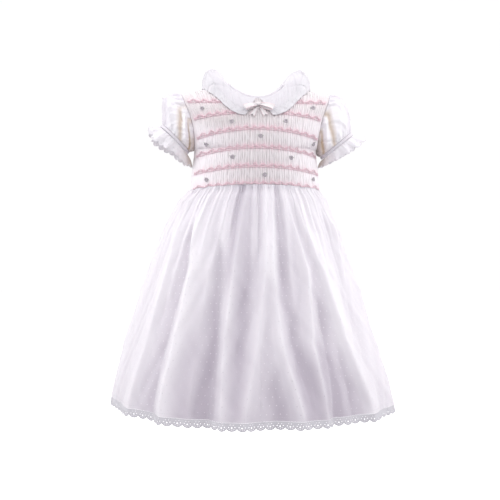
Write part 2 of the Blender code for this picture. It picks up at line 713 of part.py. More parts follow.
def hem_height(angle):
    """Height of the cloth's hem round the skirt; angle 0 is centre front."""
    ends = np.where(np.cos(angle) > 0, HEM_FRONT_HEIGHT, HEM_BACK_HEIGHT)
    sides = np.where(np.sin(angle) > 0, HEM_RIGHT_HEIGHT, HEM_LEFT_HEIGHT)
    return ends * np.cos(angle) ** 2 + sides * np.sin(angle) ** 2


def waist_height(angle):
    """Height of the waist seam round the body."""
    arch = np.where(np.cos(angle) > 0, FRONT_WAIST_ARCH, BACK_WAIST_ARCH)
    return WAIST_SIDE_HEIGHT + arch * np.cos(angle) ** 2


def fold_height(angle, share):
    """How far the skirt stands out in folds, at a share of the way from waist to hem."""
    degrees = np.degrees(angle)
    total = np.zeros(np.broadcast(angle, share).shape)
    for row in FOLD_ROWS:
        fold = dict(zip(FOLD_COLUMNS, row))
        early = blend(fold["waist"], fold["middle"], smooth_step(2 * share))
        ridge = early + (fold["hem"] - fold["middle"]) * smooth_step(2 * share - 1)
        away = (degrees - ridge + 180.0) % 360.0 - 180.0
        total += fold["height"] * np.exp(-((away / fold["half_width"]) ** 2))
    mean = FOLD_MEAN * np.mean([row[FOLD_COLUMNS.index("height")] for row in FOLD_ROWS])
    return (total - mean) * smooth_step(share / FOLD_START) * blend(FOLD_WAIST_SHARE, 1.0, share)


def skirt_points(angle, height, share):
    """Points on the skirt at angles round it and heights, with its folds."""
    half, sway = skirt("half_width", height), skirt("sway", height)
    front = np.cos(angle) > 0
    depth = np.where(front, skirt("front_depth", height), skirt("back_depth", height))
    x = half * np.sin(angle)
    y = np.where(front, -1.0, 1.0) * depth * rounded(np.sin(angle), SECTION_POWER)
    out = np.stack([np.sin(angle) / half, -np.cos(angle) / depth, 0 * height], axis=-1)
    out /= np.linalg.norm(out, axis=-1, keepdims=True)
    points = np.stack([x + sway, y, height], axis=-1)
    return points + fold_height(angle, share)[..., None] * out


def panel_angles(front, count):
    """Angles across a skirt panel, left to right as seen from outside, clear of the side seams."""
    reach = math.pi / 2 - SIDE_SEAM_ANGLE
    angles = np.linspace(-reach, reach, count + 1)
    return angles if front else angles + math.pi


def build_skirt():
    """Front and back skirt panels, each with a lace edging at its hem."""
    panels = (("front", True, SKIRT_FRONT_COLUMNS), ("back", False, SKIRT_BACK_COLUMNS))
    for name, front, count in panels:
        angle = panel_angles(front, count)[None, :]
        share = (np.linspace(0.0, 1.0, SKIRT_LEVELS) ** SKIRT_LEVEL_POWER)[:, None]
        top = waist_height(angle) - SEAM_GAP
        height = top + (hem_height(angle) - top) * share
        grid = skirt_points(angle + 0 * height, height, share + 0 * angle)[::-1]
        sides = (slice(None), [0, -1], 1)
        hem = (0, slice(None), 2)
        top_edge = (-1, slice(None), 2)
        edges = [sides, hem, top_edge]
        add_wall(f"skirt_{name}", grid, COTTON_WALL, "dotted voile", INSIDE_SKIRT, level=edges)
        lower = np.array([1.0, 0.0])[:, None]
        height = hem_height(angle) - SEAM_GAP - lower * LACE_HEIGHT
        lace = skirt_points(angle + 0 * height, height, 1.0 + 0 * height)
        edges = [sides, top_edge]
        add_wall(f"hem_lace_{name}", lace, LACE_WALL, "cotton lace", INSIDE_SKIRT, level=edges)


def main():
    """Clear the scene and build every piece."""
    for old in list(bpy.data.objects):
        bpy.data.objects.remove(old, do_unlink=True)
    build_bodice()
    build_neck_band()
    build_buttons()
    build_sleeves()
    build_collar()
    build_bow()
    build_skirt()


main()
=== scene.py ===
"""Toddler dress: the looks of its cloth, smocking, lace, ribbon, threads and buttons.

Each piece follows the form of the solid that it replaces. Cloth is a thin shell on that form,
lace is cut out of it, and threads, dots and stitches lie on the cloth. Metres, +Z up, and the
front of the dress faces -Y. Left and right are as seen from the front.
"""

import logging
import math
from dataclasses import dataclass, field
from enum import Enum
from functools import cache

import bpy
import numpy as np
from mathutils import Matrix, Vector
from mathutils.geometry import delaunay_2d_cdt


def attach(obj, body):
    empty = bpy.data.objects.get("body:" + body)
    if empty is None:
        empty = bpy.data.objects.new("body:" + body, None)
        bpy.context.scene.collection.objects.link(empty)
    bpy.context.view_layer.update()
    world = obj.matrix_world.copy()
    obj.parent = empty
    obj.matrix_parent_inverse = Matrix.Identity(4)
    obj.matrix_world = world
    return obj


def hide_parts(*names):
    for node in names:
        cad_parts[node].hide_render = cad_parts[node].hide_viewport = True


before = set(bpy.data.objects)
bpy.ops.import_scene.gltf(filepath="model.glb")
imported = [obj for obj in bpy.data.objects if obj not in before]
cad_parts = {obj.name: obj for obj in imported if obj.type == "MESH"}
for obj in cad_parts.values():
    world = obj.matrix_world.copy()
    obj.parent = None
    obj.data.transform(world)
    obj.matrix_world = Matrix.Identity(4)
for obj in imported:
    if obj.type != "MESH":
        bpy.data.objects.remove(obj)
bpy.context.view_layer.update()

LOG = logging.getLogger("dress")
ROOT = "root"
Array = np.ndarray
Colour = tuple[float, float, float]
Piece = bpy.types.Object
Material = bpy.types.Material
Node = bpy.types.Node
NodeTree = bpy.types.NodeTree
Socket = bpy.types.NodeSocket

SEAM_GAP = 0.0003
SHARP_ANGLE = math.radians(50.0)
WHITE: Colour = (0.76, 0.725, 0.775)
# Colour of the painted shade in folds and other shaded places.
PAINTED_FOLD_SHADING: Colour = (0.56, 0.515, 0.59)


# ---------------------------------------------------------------------------------------------
# Names, tables and curves


class Slot(Enum):
    """Material slots of the record."""

    SMOCKED = "smocked_cotton"
    VOILE = "dotted_voile"
    LACE = "cotton_lace"
    RIBBON = "satin_ribbon"
    BUTTON = "shell_button"
    THREAD = "embroidery_thread"


class Side(Enum):
    """A side of the dress, as the sign of its X."""

    RIGHT = 1
    LEFT = -1

    @property
    def word(self) -> str:
        """The side's name in lower case."""
        return self.name.lower()


class Face(Enum):
    """Front or back of the dress, as the sign of its Y."""

    FRONT = -1
    BACK = 1

    @property
    def word(self) -> str:
        """The face's name in lower case."""
        return self.name.lower()


def blend(first: Array, last: Array, share: Array) -> Array:
    """Run from the first value to the last."""
    return first + (last - first) * share


def smooth_step(value: Array) -> Array:
    """Ease from 0 to 1."""
    value = np.clip(value, 0.0, 1.0)
    return value * value * (3.0 - 2.0 * value)


def rounded(share: Array, power: float) -> Array:
    """Height of a unit superellipse at a share of its half width."""
    return (1.0 - np.clip(np.abs(share), 0.0, 1.0) ** power) ** (1.0 / power)


def bell(value: Array, reach: float) -> Array:
    """1 at a value of 0, and nearly 0 from twice the reach."""
    return np.exp(-((value / reach) ** 2))


def wrapped(degrees: Array) -> Array:
    """Degrees brought to between -180 and 180."""
    return (degrees + 180.0) % 360.0 - 180.0


def turn_from_top(turn: Array) -> Array:
    """Turn away from 0 on either side, 0 to pi."""
    return np.arccos(np.cos(turn))


def even_turns(count: int) -> Array:
    """Even turns round a circle, the last one short of the first."""
    return np.arange(count) / count * 2 * math.pi


def unit(vectors: Array) -> Array:
    """The same directions with length 1."""
    return vectors / np.maximum(np.linalg.norm(vectors, axis=-1, keepdims=True), 1e-12)


def grid(across: Array, along: Array) -> tuple[Array, Array]:
    """Every place across at every place along, as rows by columns."""
    return tuple(np.broadcast_arrays(across[None, :], along[:, None]))


def path_length(path: Array) -> float:
    """Length of a path through its points."""
    return float(np.sum(np.linalg.norm(np.diff(path, axis=0), axis=1)))


def path_run(path: Array) -> Array:
    """Distance along a path at each of its points."""
    return np.concatenate([[0.0], np.cumsum(np.linalg.norm(np.diff(path, axis=0), axis=1))])


def shared_points(keys: Array, faces: Array) -> tuple[Array, Array]:
    """Make points with the same key one.

    Args:
        keys: A row of numbers for each point.
        faces: Faces as numbers of the points.

    Returns:
        The numbers of the points to keep, and the faces as numbers of those.
    """
    _, first, inverse = np.unique(np.round(keys, 5), axis=0, return_index=True, return_inverse=True)
    return first, inverse.reshape(-1)[faces]


def oval(centre: tuple[float, float], half: tuple[float, float], count: int) -> list[tuple[float, float]]:
    """Even points round a flat oval.

    Args:
        centre: Its centre.
        half: Its half width and half height.
        count: How many points.

    Returns:
        The points in order.
    """
    (x, y), (width, height) = centre, half
    return [(x + width * math.cos(turn), y + height * math.sin(turn)) for turn in even_turns(count)]


def cut_plate(loops: list[list[tuple[float, float]]], tolerance: float) -> tuple[Array, Array]:
    """Fill a flat outline with triangles that keep the sides of every loop.

    Args:
        loops: The outline and the loops inside it, each as its corners.
        tolerance: Distance within which points are one.

    Returns:
        Points and triangles.
    """
    edges, first = [], 0
    for loop in loops:
        count = len(loop)
        edges += [(first + i, first + (i + 1) % count) for i in range(count)]
        first += count
    points = [Vector(corner) for loop in loops for corner in loop]
    cut = delaunay_2d_cdt(points, edges, [], 0, tolerance)
    return np.array([tuple(p) for p in cut[0]]), np.array([face for face in cut[2] if len(face) == 3])


def ripple(at: Array, seed: int, longest: float, parts: int = 4) -> Array:
    """A smooth uneven wave between about -1 and 1.

    Args:
        at: Where to read it.
        seed: Which wave of many.
        longest: Length of its longest part.
        parts: How many parts it has, each shorter than the last.

    Returns:
        The wave's value at each place.
    """
    dice = np.random.default_rng(seed)
    total = np.zeros(np.shape(at))
    for part in range(parts):
        length = longest / (1.0 + 0.83 * part)
        weight = 1.0 / (1.0 + 0.6 * part)
        total = total + weight * np.sin(np.asarray(at) / length * 2 * math.pi + dice.uniform(0, 6.28))
    return total / 2.0


@dataclass(frozen=True)
class Table:
    """Rows of sizes under named columns."""

    columns: tuple[str, ...]
    rows: tuple[tuple, ...]

    @cache
    def column(self, name: str) -> Array:
        """One column as numbers."""
        return np.array([row[self.columns.index(name)] for row in self.rows], float)

    @cache
    def curve(self, key: str, name: str) -> tuple[Array, Array, Array]:
        """A column as a curve over another.

        Args:
            key: Column that places the rows.
            name: Column to read.

        Returns:
            Places in rising order, with the value and the slope at each.
        """
        keys, values = self.column(key), self.column(name)
        order = np.argsort(keys)
        return keys[order], values[order], np.gradient(values[order], keys[order])

    def records(self) -> list[dict]:
        """Every row with its column names."""
        return [dict(zip(self.columns, row)) for row in self.rows]

    def read(self, key: str, name: str, at: Array) -> Array:
        """Read a column on a smooth curve through its rows.

        Args:
            key: Column that places the rows.
            name: Column to read.
            at: Values of the key column.

        Returns:
            The named column's value at each place.
        """
        keys, values, slopes = self.curve(key, name)
        at = np.clip(at, keys[0], keys[-1])
        index = np.clip(np.searchsorted(keys, at, side="right") - 1, 0, len(keys) - 2)
        span = keys[index + 1] - keys[index]
        t = (at - keys[index]) / span
        rise = values[index + 1] - values[index]
        start, end = slopes[index] * span, slopes[index + 1] * span
        return values[index] + t * (
            start + t * (3 * rise - 2 * start - end + t * (start + end - 2 * rise))
        )


# ---------------------------------------------------------------------------------------------
# Forms: surfaces that cloth, lace and thread are laid on


class Form:
    """A surface with a point for each place across and along it."""

    steps = (1e-3, 1e-3)
    middle = (0.0, 0.5)
    inside = (0.0, 0.0, 0.0)

    def base(self, across: Array, along: Array) -> Array:
        """Points of the plain form.

        Args:
            across: Places across the form.
            along: Places along it.

        Returns:
            An array with a last axis of x, y and z.
        """
        raise NotImplementedError

    def relief(self, across: Array, along: Array) -> Array:
        """How far the cloth stands out from the plain form.

        Args:
            across: Places across the form.
            along: Places along it.

        Returns:
            A distance at each place.
        """
        return np.zeros(np.shape(across))

    def bare_normal(self, across: Array, along: Array) -> Array:
        """Unit normal whose sense depends on how the form is laid out.

        Args:
            across: Places across the form.
            along: Places along it.

        Returns:
            An array with a last axis of x, y and z.
        """
        step_across, step_along = self.steps
        side = self.base(across + step_across, along) - self.base(across - step_across, along)
        rise = self.base(across, along + step_along) - self.base(across, along - step_along)
        return unit(np.cross(side, rise))

    def facing(self) -> float:
        """Which way the bare normal points.

        Returns:
            1.0 if it points outwards at the form's middle, or -1.0.
        """
        across, along = np.array([self.middle[0]]), np.array([self.middle[1]])
        outward = self.base(across, along)[0] - np.array(self.inside)
        return 1.0 if np.dot(outward, self.bare_normal(across, along)[0]) > 0 else -1.0

    def normal(self, across: Array, along: Array) -> Array:
        """Unit normal that points outwards."""
        return self.facing() * self.bare_normal(across, along)

    def painted_lace_shade(self, across: Array, along: Array) -> Array:
        """How far lace on this form takes its second colour, a painted shade; none on a plain form."""
        return 0.0 * across

    def place(self, across: Array, along: Array, out: Array = 0.0) -> Array:
        """Points on the cloth.

        Args:
            across: Places across the form.
            along: Places along it.
            out: Distance out from the cloth's outer side.

        Returns:
            An array with a last axis of x, y and z.
        """
        across, along = np.broadcast_arrays(np.asarray(across, float), np.asarray(along, float))
        lift = self.relief(across, along) + out
        return self.base(across, along) + lift[..., None] * self.normal(across, along)


class RoundForm(Form):
    """A form that runs all the way round, with normals worked out to point outwards."""

    steps = (2e-3, 2e-3)

    def facing(self) -> float:
        """The normals need no turning."""
        return 1.0


@dataclass(frozen=True)
class BodyShape:
    """Sizes of the bodice, and the curves that they give."""

    table: Table = Table(
        ("height", "edge_x", "front_depth", "back_depth"),
        (
            (-0.1720, 0.1008, 0.0745, 0.0700),
            (-0.1650, 0.1005, 0.0747, 0.0700),
            (-0.1330, 0.0977, 0.0755, 0.0705),
            (-0.1030, 0.0945, 0.0755, 0.0715),
            (-0.0860, 0.0950, 0.0745, 0.0720),
            (-0.0700, 0.0975, 0.0730, 0.0725),
            (-0.0550, 0.1013, 0.0710, 0.0725),
            (-0.0310, 0.1105, 0.0670, 0.0690),
            (-0.0165, 0.1150, 0.0640, 0.0660),
            (0.0100, 0.1150, 0.0600, 0.0620),
        ),
    )
    section_power: float = 2.15
    neck_half_width: float = 0.0440
    front_neck_drop: float = 0.0290
    back_neck_drop: float = 0.0200
    neck_curve_power: float = 0.80
    shoulder_neck_height: float = -0.0030
    shoulder_tip_height: float = -0.0165
    shoulder_half_width: float = 0.1150
    underarm_height: float = -0.1030
    armhole_half_depth: float = 0.0375
    armhole_power: float = 2.2
    front_chest_turn: float = -0.0850
    back_chest_turn: float = -0.0700
    waist_side_height: float = -0.1650
    front_waist_arch: float = 0.0050
    back_waist_arch: float = 0.0020
    lap_half_width: float = 0.0070
    lap_run_out: float = 0.0200
    lap_height: float = 0.0022
    slope_step: float = 0.0004

    def edge_x(self, height: Array) -> Array:
        """Half width of the bodice."""
        return self.table.read("height", "edge_x", height)

    def shoulder_height(self, x: Array) -> Array:
        """Height of the shoulder line.

        Args:
            x: Distances from the centre plane.

        Returns:
            A height at each.
        """
        run = self.shoulder_half_width - self.neck_half_width
        share = np.clip((np.abs(x) - self.neck_half_width) / run, 0.0, 1.0)
        return blend(self.shoulder_neck_height, self.shoulder_tip_height, share)

    def neckline_height(self, x: Array, drop: float) -> Array:
        """Height of the cut edge of the neck.

        Args:
            x: Distances from the centre plane.
            drop: Fall of the edge at centre, below the mount.

        Returns:
            A height at each.
        """
        share = np.clip(np.abs(x) / self.neck_half_width, 0.0, 1.0)
        fall = drop + self.shoulder_neck_height
        return self.shoulder_neck_height - fall * (1.0 - share**2) ** self.neck_curve_power

    @property
    def armhole_span(self) -> tuple[float, float]:
        """Height of the armhole's middle, and half the armhole's height."""
        tip, under = self.shoulder_tip_height, self.underarm_height
        return (tip + under) / 2, (tip - under) / 2

    def armhole_depth(self, height: Array) -> Array:
        """How far the armhole's edge lies in front of or behind the shoulder line."""
        middle, half = self.armhole_span
        return self.armhole_half_depth * rounded((height - middle) / half, self.armhole_power)

    def depth(self, x: Array, height: Array, face: Face) -> Array:
        """Distance of the bodice from the plane of its side seams.

        Args:
            x: Distances from the centre plane.
            height: Heights.
            face: Front or back.

        Returns:
            A distance at each place.
        """
        front = face is Face.FRONT
        turn = self.front_chest_turn if front else self.back_chest_turn
        name = "front_depth" if front else "back_depth"
        climb = np.clip((height - turn) / (self.shoulder_height(x) - turn), 0.0, 1.0)
        centre = self.table.read("height", name, height) * np.sqrt(1.0 - climb**2)
        edge = np.minimum(self.armhole_depth(height), centre)
        return edge + (centre - edge) * rounded(x / self.edge_x(height), self.section_power)

    def point(self, x: Array, height: Array, face: Face, out: Array = 0.0) -> Array:
        """A point over the bodice.

        Args:
            x: Distance from the centre plane.
            height: Height.
            face: Front or back.
            out: Distance out from the bodice, square to it.

        Returns:
            An array with a last axis of x, y and z.
        """
        step = self.slope_step
        height = np.minimum(height, self.shoulder_height(x) - step)
        depth = self.depth(x, height, face)
        ahead, behind = self.depth(x + step, height, face), self.depth(x - step, height, face)
        slope_x = (ahead - behind) / (2 * step)
        slope_z = (depth - self.depth(x, height - step, face)) / step
        normal = unit(np.stack([-slope_x, face.value * np.ones_like(depth), -slope_z], axis=-1))
        seat = np.stack([x + 0 * depth, face.value * depth, height + 0 * depth], axis=-1)
        return seat + np.asarray(out)[..., None] * normal

    def centre_seat(self, height: float, face: Face) -> tuple[Array, Array]:
        """Where a trim sits on the bodice's centre line.

        Args:
            height: Its height.
            face: Front or back.

        Returns:
            The point, and the direction out of the bodice there.
        """
        x, at = np.array([0.0]), np.array([height])
        seat = self.point(x, at, face)[0]
        return seat, self.point(x, at, face, np.array([1.0]))[0] - seat

    @property
    def neck_share(self) -> float:
        """Half width of the neck as a share of the shoulders'."""
        return self.neck_half_width / self.shoulder_half_width

    @property
    def lap_share(self) -> float:
        """Half width of the back lap as a share of the shoulders'."""
        return self.lap_half_width / self.shoulder_half_width

    def lap_rise(self, x: Array) -> Array:
        """How far the right back half stands out over the left one near centre back."""
        run = self.lap_run_out - self.lap_half_width
        return self.lap_height * smooth_step((self.lap_run_out - x) / run)

    def waist_height(self, share: Array, face: Face) -> Array:
        """Height of the waist seam at a share of the half width."""
        arch = self.front_waist_arch if face is Face.FRONT else self.back_waist_arch
        return self.waist_side_height + arch * (1.0 - share**2)

    def top_height(self, share: Array, face: Face) -> Array:
        """Height of the neck or shoulder edge.

        Args:
            share: Shares of the half width.
            face: Front or back.

        Returns:
            A height at each.
        """
        drop = self.front_neck_drop if face is Face.FRONT else self.back_neck_drop
        top = np.full(np.shape(share), self.shoulder_tip_height)
        for _ in range(8):
            x = share * self.edge_x(top)
            neck = self.neckline_height(x, drop)
            top = np.where(np.abs(x) < self.neck_half_width, neck, self.shoulder_height(x))
        return top


BODY = BodyShape()


@dataclass(frozen=True)
class PanelForm(Form):
    """A bodice panel: across is a share of the half width, along runs from waist to top."""

    face: Face
    middle = (0.4, 0.4)
    inside = (0.0, 0.0, -0.09)

    def height(self, across: Array, along: Array) -> Array:
        """Height of a place on the panel."""
        waist = BODY.waist_height(across, self.face)
        return blend(waist, BODY.top_height(across, self.face), np.clip(along, 0.0, 1.0))

    def along_at(self, across: Array, height: Array) -> Array:
        """Place along the panel of a height."""
        waist = BODY.waist_height(across, self.face)
        return (height - waist) / (BODY.top_height(across, self.face) - waist)

    def base(self, across: Array, along: Array) -> Array:
        """Points of the plain panel."""
        height = self.height(across, along)
        x = across * BODY.edge_x(height)
        depth = BODY.depth(x, height, self.face) + SEAM_GAP / 2
        return np.stack([x, self.face.value * depth, height], axis=-1)


@dataclass(frozen=True)
class BackForm(PanelForm):
    """One back half, which laps over or under the other at centre back."""

    side: Side = Side.RIGHT
    slack: float = 0.0005

    def relief(self, across: Array, along: Array) -> Array:
        """The lap, and slight slack in the plain cloth."""
        height = self.height(across, along)
        slack = self.slack * ripple(across + 0.2 * along, 31 + self.side.value, 0.9)
        slack = slack * smooth_step(4 * along) * smooth_step(5 * (1 - along))
        if self.side is Side.RIGHT:
            return BODY.lap_rise(across * BODY.edge_x(height)) + slack
        return slack * smooth_step((np.abs(across) - 0.12) * 8)


@dataclass(frozen=True)
class SmockedForm(PanelForm):
    """The smocked front: fine pleats that stand up between the rows of stitching."""

    face: Face = Face.FRONT
    pleats: int = 60
    pleat_height: float = 0.00125
    pleat_sway: float = 0.16
    sway_spacing: float = 0.0262
    row_pinch: float = 0.35
    pinch_reach: float = 0.0026
    puff: float = 0.0008
    puff_reach: float = 0.0075
    edge_calm: float = 0.45
    rows: Table = Table(
        ("centre", "edge", "inner_share"),
        (
            (-0.0365, -0.0345, 0.46),
            (-0.0522, -0.0625, 0.24),
            (-0.0778, -0.0913, 0.0),
            (-0.1058, -0.1172, 0.0),
            (-0.1338, -0.1438, 0.0),
            (-0.1606, -0.1668, 0.0),
        ),
    )

    def row_height(self, row: dict, across: Array) -> Array:
        """Height of a row of stitching."""
        return blend(row["centre"], row["edge"], np.abs(across) ** 1.9)

    def near_row(self, across: Array, along: Array, reach: float) -> Array:
        """How near places are to a row of stitching.

        Args:
            across: Places across the panel.
            along: Places along it.
            reach: Distance within which a place counts as near.

        Returns:
            1 on a row, and 0 well away from all of them.
        """
        height = self.height(across, along)
        away = [height - self.row_height(row, across) for row in self.rows.records()]
        return np.max([bell(distance, reach) for distance in away], axis=0)

    def pleat_phase(self, across: Array, along: Array) -> Array:
        """Count of pleats from the left edge, uneven from pleat to pleat and up the panel.

        Args:
            across: Places across the panel.
            along: Places along it.

        Returns:
            Whole numbers on the crests.
        """
        height = self.height(across, along)
        even = (across + 1.0) / 2 * self.pleats
        uneven = 0.55 * ripple(across, 11, 0.31, 5)
        sway = np.sin(height / self.sway_spacing * 2 * math.pi + 9.0 * ripple(across, 12, 0.13))
        return even + uneven + self.pleat_sway * sway

    def pleat_crest(self, across: Array, along: Array) -> Array:
        """1 on the crest of a pleat and 0 in the hollow beside it."""
        return np.abs(np.cos(math.pi * self.pleat_phase(across, along))) ** 0.75

    def relief(self, across: Array, along: Array) -> Array:
        """Pleats, drawn in at the stitching and full between."""
        crest = self.pleat_crest(across, along)
        pinch = 1.0 - self.row_pinch * self.near_row(across, along, self.pinch_reach)
        uneven = 1.0 + 0.22 * ripple(across + 0.13 * along, 13, 0.09)
        puff = self.puff * (1.0 - self.near_row(across, along, self.puff_reach))
        edge = smooth_step((1.0 - np.abs(across)) * 22)
        flat = 1.0 - self.edge_calm * across**2
        return (crest * self.pleat_height * pinch * uneven * flat + puff) * edge


@dataclass(frozen=True)
class Gathers:
    """Small uneven folds that start at a seam and fade out."""

    count: float
    height: float
    reach: float
    seed: int
    start: float = 0.0

    def at(self, across: Array, away: Array) -> Array:
        """How far the folds stand out.

        Args:
            across: Place along the seam, 0 to 1.
            away: Distance from the seam, in the same measure as reach and start.

        Returns:
            Heights above and below the plain cloth.
        """
        phase = self.count * (across + 0.35 / self.count * ripple(across, self.seed, 3.1 / self.count))
        wave = np.cos(2 * math.pi * phase + 0.9 * ripple(away / self.reach + 7 * across, self.seed + 1, 1.7))
        uneven = 0.7 + 0.5 * ripple(across, self.seed + 2, 5.3 / self.count)
        onset = smooth_step(away / self.start) if self.start else 1.0
        return self.height * wave * uneven * onset * bell(away, self.reach)


@dataclass(frozen=True)
class FoldLines:
    """Folds that run along a piece: ridges, and troughs where the height is below zero.

    Each row gives the fold's angle at four levels along the piece, the levels at which it starts
    and ends, its height, and its half width on either side.
    """

    levels: tuple[float, ...]
    rows: tuple[tuple[float, ...], ...]
    power: float = 1.5
    columns = ("start", "end", "first", "second", "third", "fourth", "height", "before", "after")

    def at(self, degrees: Array, share: Array) -> Array:
        """How far the folds stand out.

        Args:
            degrees: Angles.
            share: Places along the piece, 0 to 1.

        Returns:
            Heights above and below the plain cloth.
        """
        total = np.zeros(np.shape(degrees))
        for row in self.rows:
            fold = dict(zip(self.columns, row))
            middle = np.interp(share, self.levels, row[2:6])
            away = wrapped(degrees - middle)
            width = np.where(away < 0, fold["before"], fold["after"])
            fade = smooth_step((share - fold["start"]) / 0.2) * smooth_step((fold["end"] - share) / 0.3)
            total += fold["height"] * fade * np.exp(-((np.abs(away) / width) ** self.power))
        return total


@dataclass(frozen=True)
class SkirtForm(RoundForm):
    """The skirt: across is the angle from centre front, along 0 is the waist and 1 the hem.

    From 1 to 2, along runs down the lace below the hem.
    """

    face: Face = Face.FRONT
    lace_height: float = 0.0120
    front_hem: float = -0.4990
    back_hem: float = -0.4930
    left_hem: float = -0.4840
    right_hem: float = -0.4930
    fold_start: float = 0.30
    fold_mean: float = 0.45
    fold_waist_share: float = 0.35
    ridge_mean: float = 0.0015
    long_ripple: float = 0.0011
    short_ripple: float = 0.0006
    table: Table = Table(
        ("height", "half_width", "sway", "front_depth", "back_depth"),
        (
            (-0.1600, 0.1003, 0.0000, 0.0747, 0.0700),
            (-0.1655, 0.1005, 0.0000, 0.0747, 0.0700),
            (-0.1800, 0.1110, -0.0012, 0.0830, 0.0790),
            (-0.2030, 0.1230, -0.0030, 0.0925, 0.0890),
            (-0.2270, 0.1345, -0.0040, 0.1010, 0.0970),
            (-0.2580, 0.1455, -0.0050, 0.1115, 0.1075),
            (-0.2900, 0.1565, -0.0055, 0.1205, 0.1165),
            (-0.3360, 0.1720, -0.0060, 0.1330, 0.1290),
            (-0.3980, 0.1920, -0.0060, 0.1480, 0.1440),
            (-0.4610, 0.2100, -0.0045, 0.1615, 0.1575),
            (-0.5000, 0.2165, -0.0035, 0.1680, 0.1640),
            (-0.5200, 0.2190, -0.0030, 0.1700, 0.1660),
        ),
    )
    folds: Table = Table(
        ("waist", "middle", "hem", "height", "half_width"),
        (
            (-62.0, -57.0, -64.0, 0.0090, 9.0),
            (-41.0, -36.0, -40.0, 0.0165, 7.0),
            (-31.0, -26.0, -28.0, 0.0080, 5.0),
            (-10.0, -13.0, -15.0, 0.0140, 5.0),
            (-3.0, -3.0, -4.0, 0.0070, 4.5),
            (6.0, 9.0, 17.0, 0.0160, 5.0),
            (16.0, 18.0, 28.0, 0.0080, 5.0),
            (28.0, 28.0, 36.0, 0.0110, 5.0),
            (43.0, 43.0, 50.0, 0.0130, 8.0),
            (63.0, 64.0, 67.0, 0.0090, 8.0),
            (88.0, 86.0, 88.0, 0.0100, 8.0),
            (106.0, 108.0, 105.0, 0.0130, 7.0),
            (124.0, 127.0, 126.0, 0.0150, 7.0),
            (142.0, 145.0, 148.0, 0.0130, 7.0),
            (160.0, 162.0, 166.0, 0.0160, 7.0),
            (180.0, 179.0, 184.0, 0.0140, 7.0),
            (200.0, 198.0, 202.0, 0.0135, 7.0),
            (217.0, 216.0, 219.0, 0.0160, 7.0),
            (236.0, 234.0, 237.0, 0.0130, 7.0),
            (254.0, 253.0, 254.0, 0.0125, 7.0),
            (274.0, 275.0, 274.0, 0.0100, 8.0),
        ),
    )
    broad_share: float = 0.45
    lines: FoldLines = FoldLines(
        (0.06, 0.37, 0.69, 0.97),
        (
            (-0.2, 2, 10, 7.5, 9, 14.5, 0.0095, 4.6, 2.2),
            (-0.2, 2, 5, 3.5, -1, -6.5, 0.0095, 4.8, 2.8),
            (-0.2, 2, -9.5, -13, -15, -15, 0.0070, 2.2, 4),
            (-0.2, 2, -46, -36.5, -37.5, -40, 0.0100, 2.6, 7),
            (-0.2, 2, -60, -55, -55.5, -59, 0.0075, 6, 3),
            (-0.2, 0.66, -22.5, -26, -27, -27, 0.0050, 2.4, 3),
            (-0.2, 0.48, -4, -3, -3, -3, 0.0036, 2, 2),
            (-0.2, 0.45, -34, -31, -31, -31, 0.0034, 2.2, 2.2),
            (-0.2, 0.62, 18, 17, 17, 17, 0.0040, 2.4, 2),
            (-0.2, 2, 21, 26.8, 23.4, 25, 0.0082, 4.6, 2),
            (-0.2, 2, 26.5, 37.4, 42, 48, 0.0080, 2.6, 6.5),
            (-0.2, 2, 52, 70, 73, 73, 0.0070, 5, 5),
            (-0.2, 0.55, 61, 58, 58, 58, 0.0034, 2.6, 2.6),
            (0.74, 2, -27, -27, -27, -28, 0.0034, 2, 2),
            (0.80, 2, 20, 20, 20, 20.5, 0.0028, 1.8, 1.8),
            (0.62, 2, 38, 38, 38, 39, -0.0045, 3, 3),
            (0.10, 2, -27, -21.5, -19, -21.5, -0.0066, 3.8, 2.4),
            (0.05, 2, -51, -42.5, -44.5, -46.5, -0.0038, 4, 2.2),
            (0.74, 2, 5, 5, 4.5, 5.5, -0.0065, 4, 4),
            (0.42, 2, 32, 31.5, 31.5, 30, -0.0065, 2.2, 5),
            (0.50, 2, 13.5, 13.5, 14.5, 20.5, -0.0040, 2, 4),
            (-0.2, 0.52, 2, 2.5, 3, 3, -0.0050, 2.4, 2),
            (-0.2, 0.62, 14, 12.5, 13, 13, -0.0020, 1.8, 2.4),
            (-0.2, 2, 96, 97, 95, 96, 0.0060, 4, 4),
            (-0.2, 2, 112, 109, 108, 106, 0.0085, 2.6, 5),
            (0.40, 2, 119, 119, 118, 117, 0.0042, 2.6, 2.6),
            (-0.2, 2, 124, 128, 128, 126, 0.0090, 5.5, 2.6),
            (-0.2, 0.60, 137, 136, 136, 136, 0.0040, 2.6, 2.6),
            (-0.2, 2, 141, 146, 148, 150, 0.0085, 2.6, 5),
            (0.45, 2, 154, 154, 156, 157, 0.0040, 2.6, 2.6),
            (-0.2, 2, 164, 162, 164, 167, 0.0092, 5, 2.4),
            (-0.2, 0.55, 173, 172, 172, 172, 0.0038, 2.4, 2.4),
            (-0.2, 2, 179, 179, 182, 184, 0.0088, 2.8, 4.6),
            (0.50, 2, 190, 190, 190, 191, 0.0042, 2.6, 2.6),
            (-0.2, 2, 202, 198, 200, 203, 0.0086, 4.8, 2.4),
            (-0.2, 0.62, 209, 208, 208, 208, 0.0040, 2.5, 2.5),
            (-0.2, 2, 217, 217, 219, 219, 0.0092, 2.6, 5.2),
            (0.42, 2, 227, 227, 228, 229, 0.0040, 2.6, 2.6),
            (-0.2, 2, 238, 234, 236, 238, 0.0084, 5, 2.8),
            (-0.2, 2, 253, 254, 256, 255, 0.0080, 3, 5),
            (-0.2, 2, 268, 268, 269, 268, 0.0060, 4, 4),
            (0.05, 2, 152, 155, 155, 160, -0.0050, 3.2, 3.2),
            (0.05, 2, 189, 188, 190, 194, -0.0050, 3.2, 3.2),
            (0.05, 2, 226, 225, 226, 226, -0.0050, 3.2, 3.2),
        ),
    )
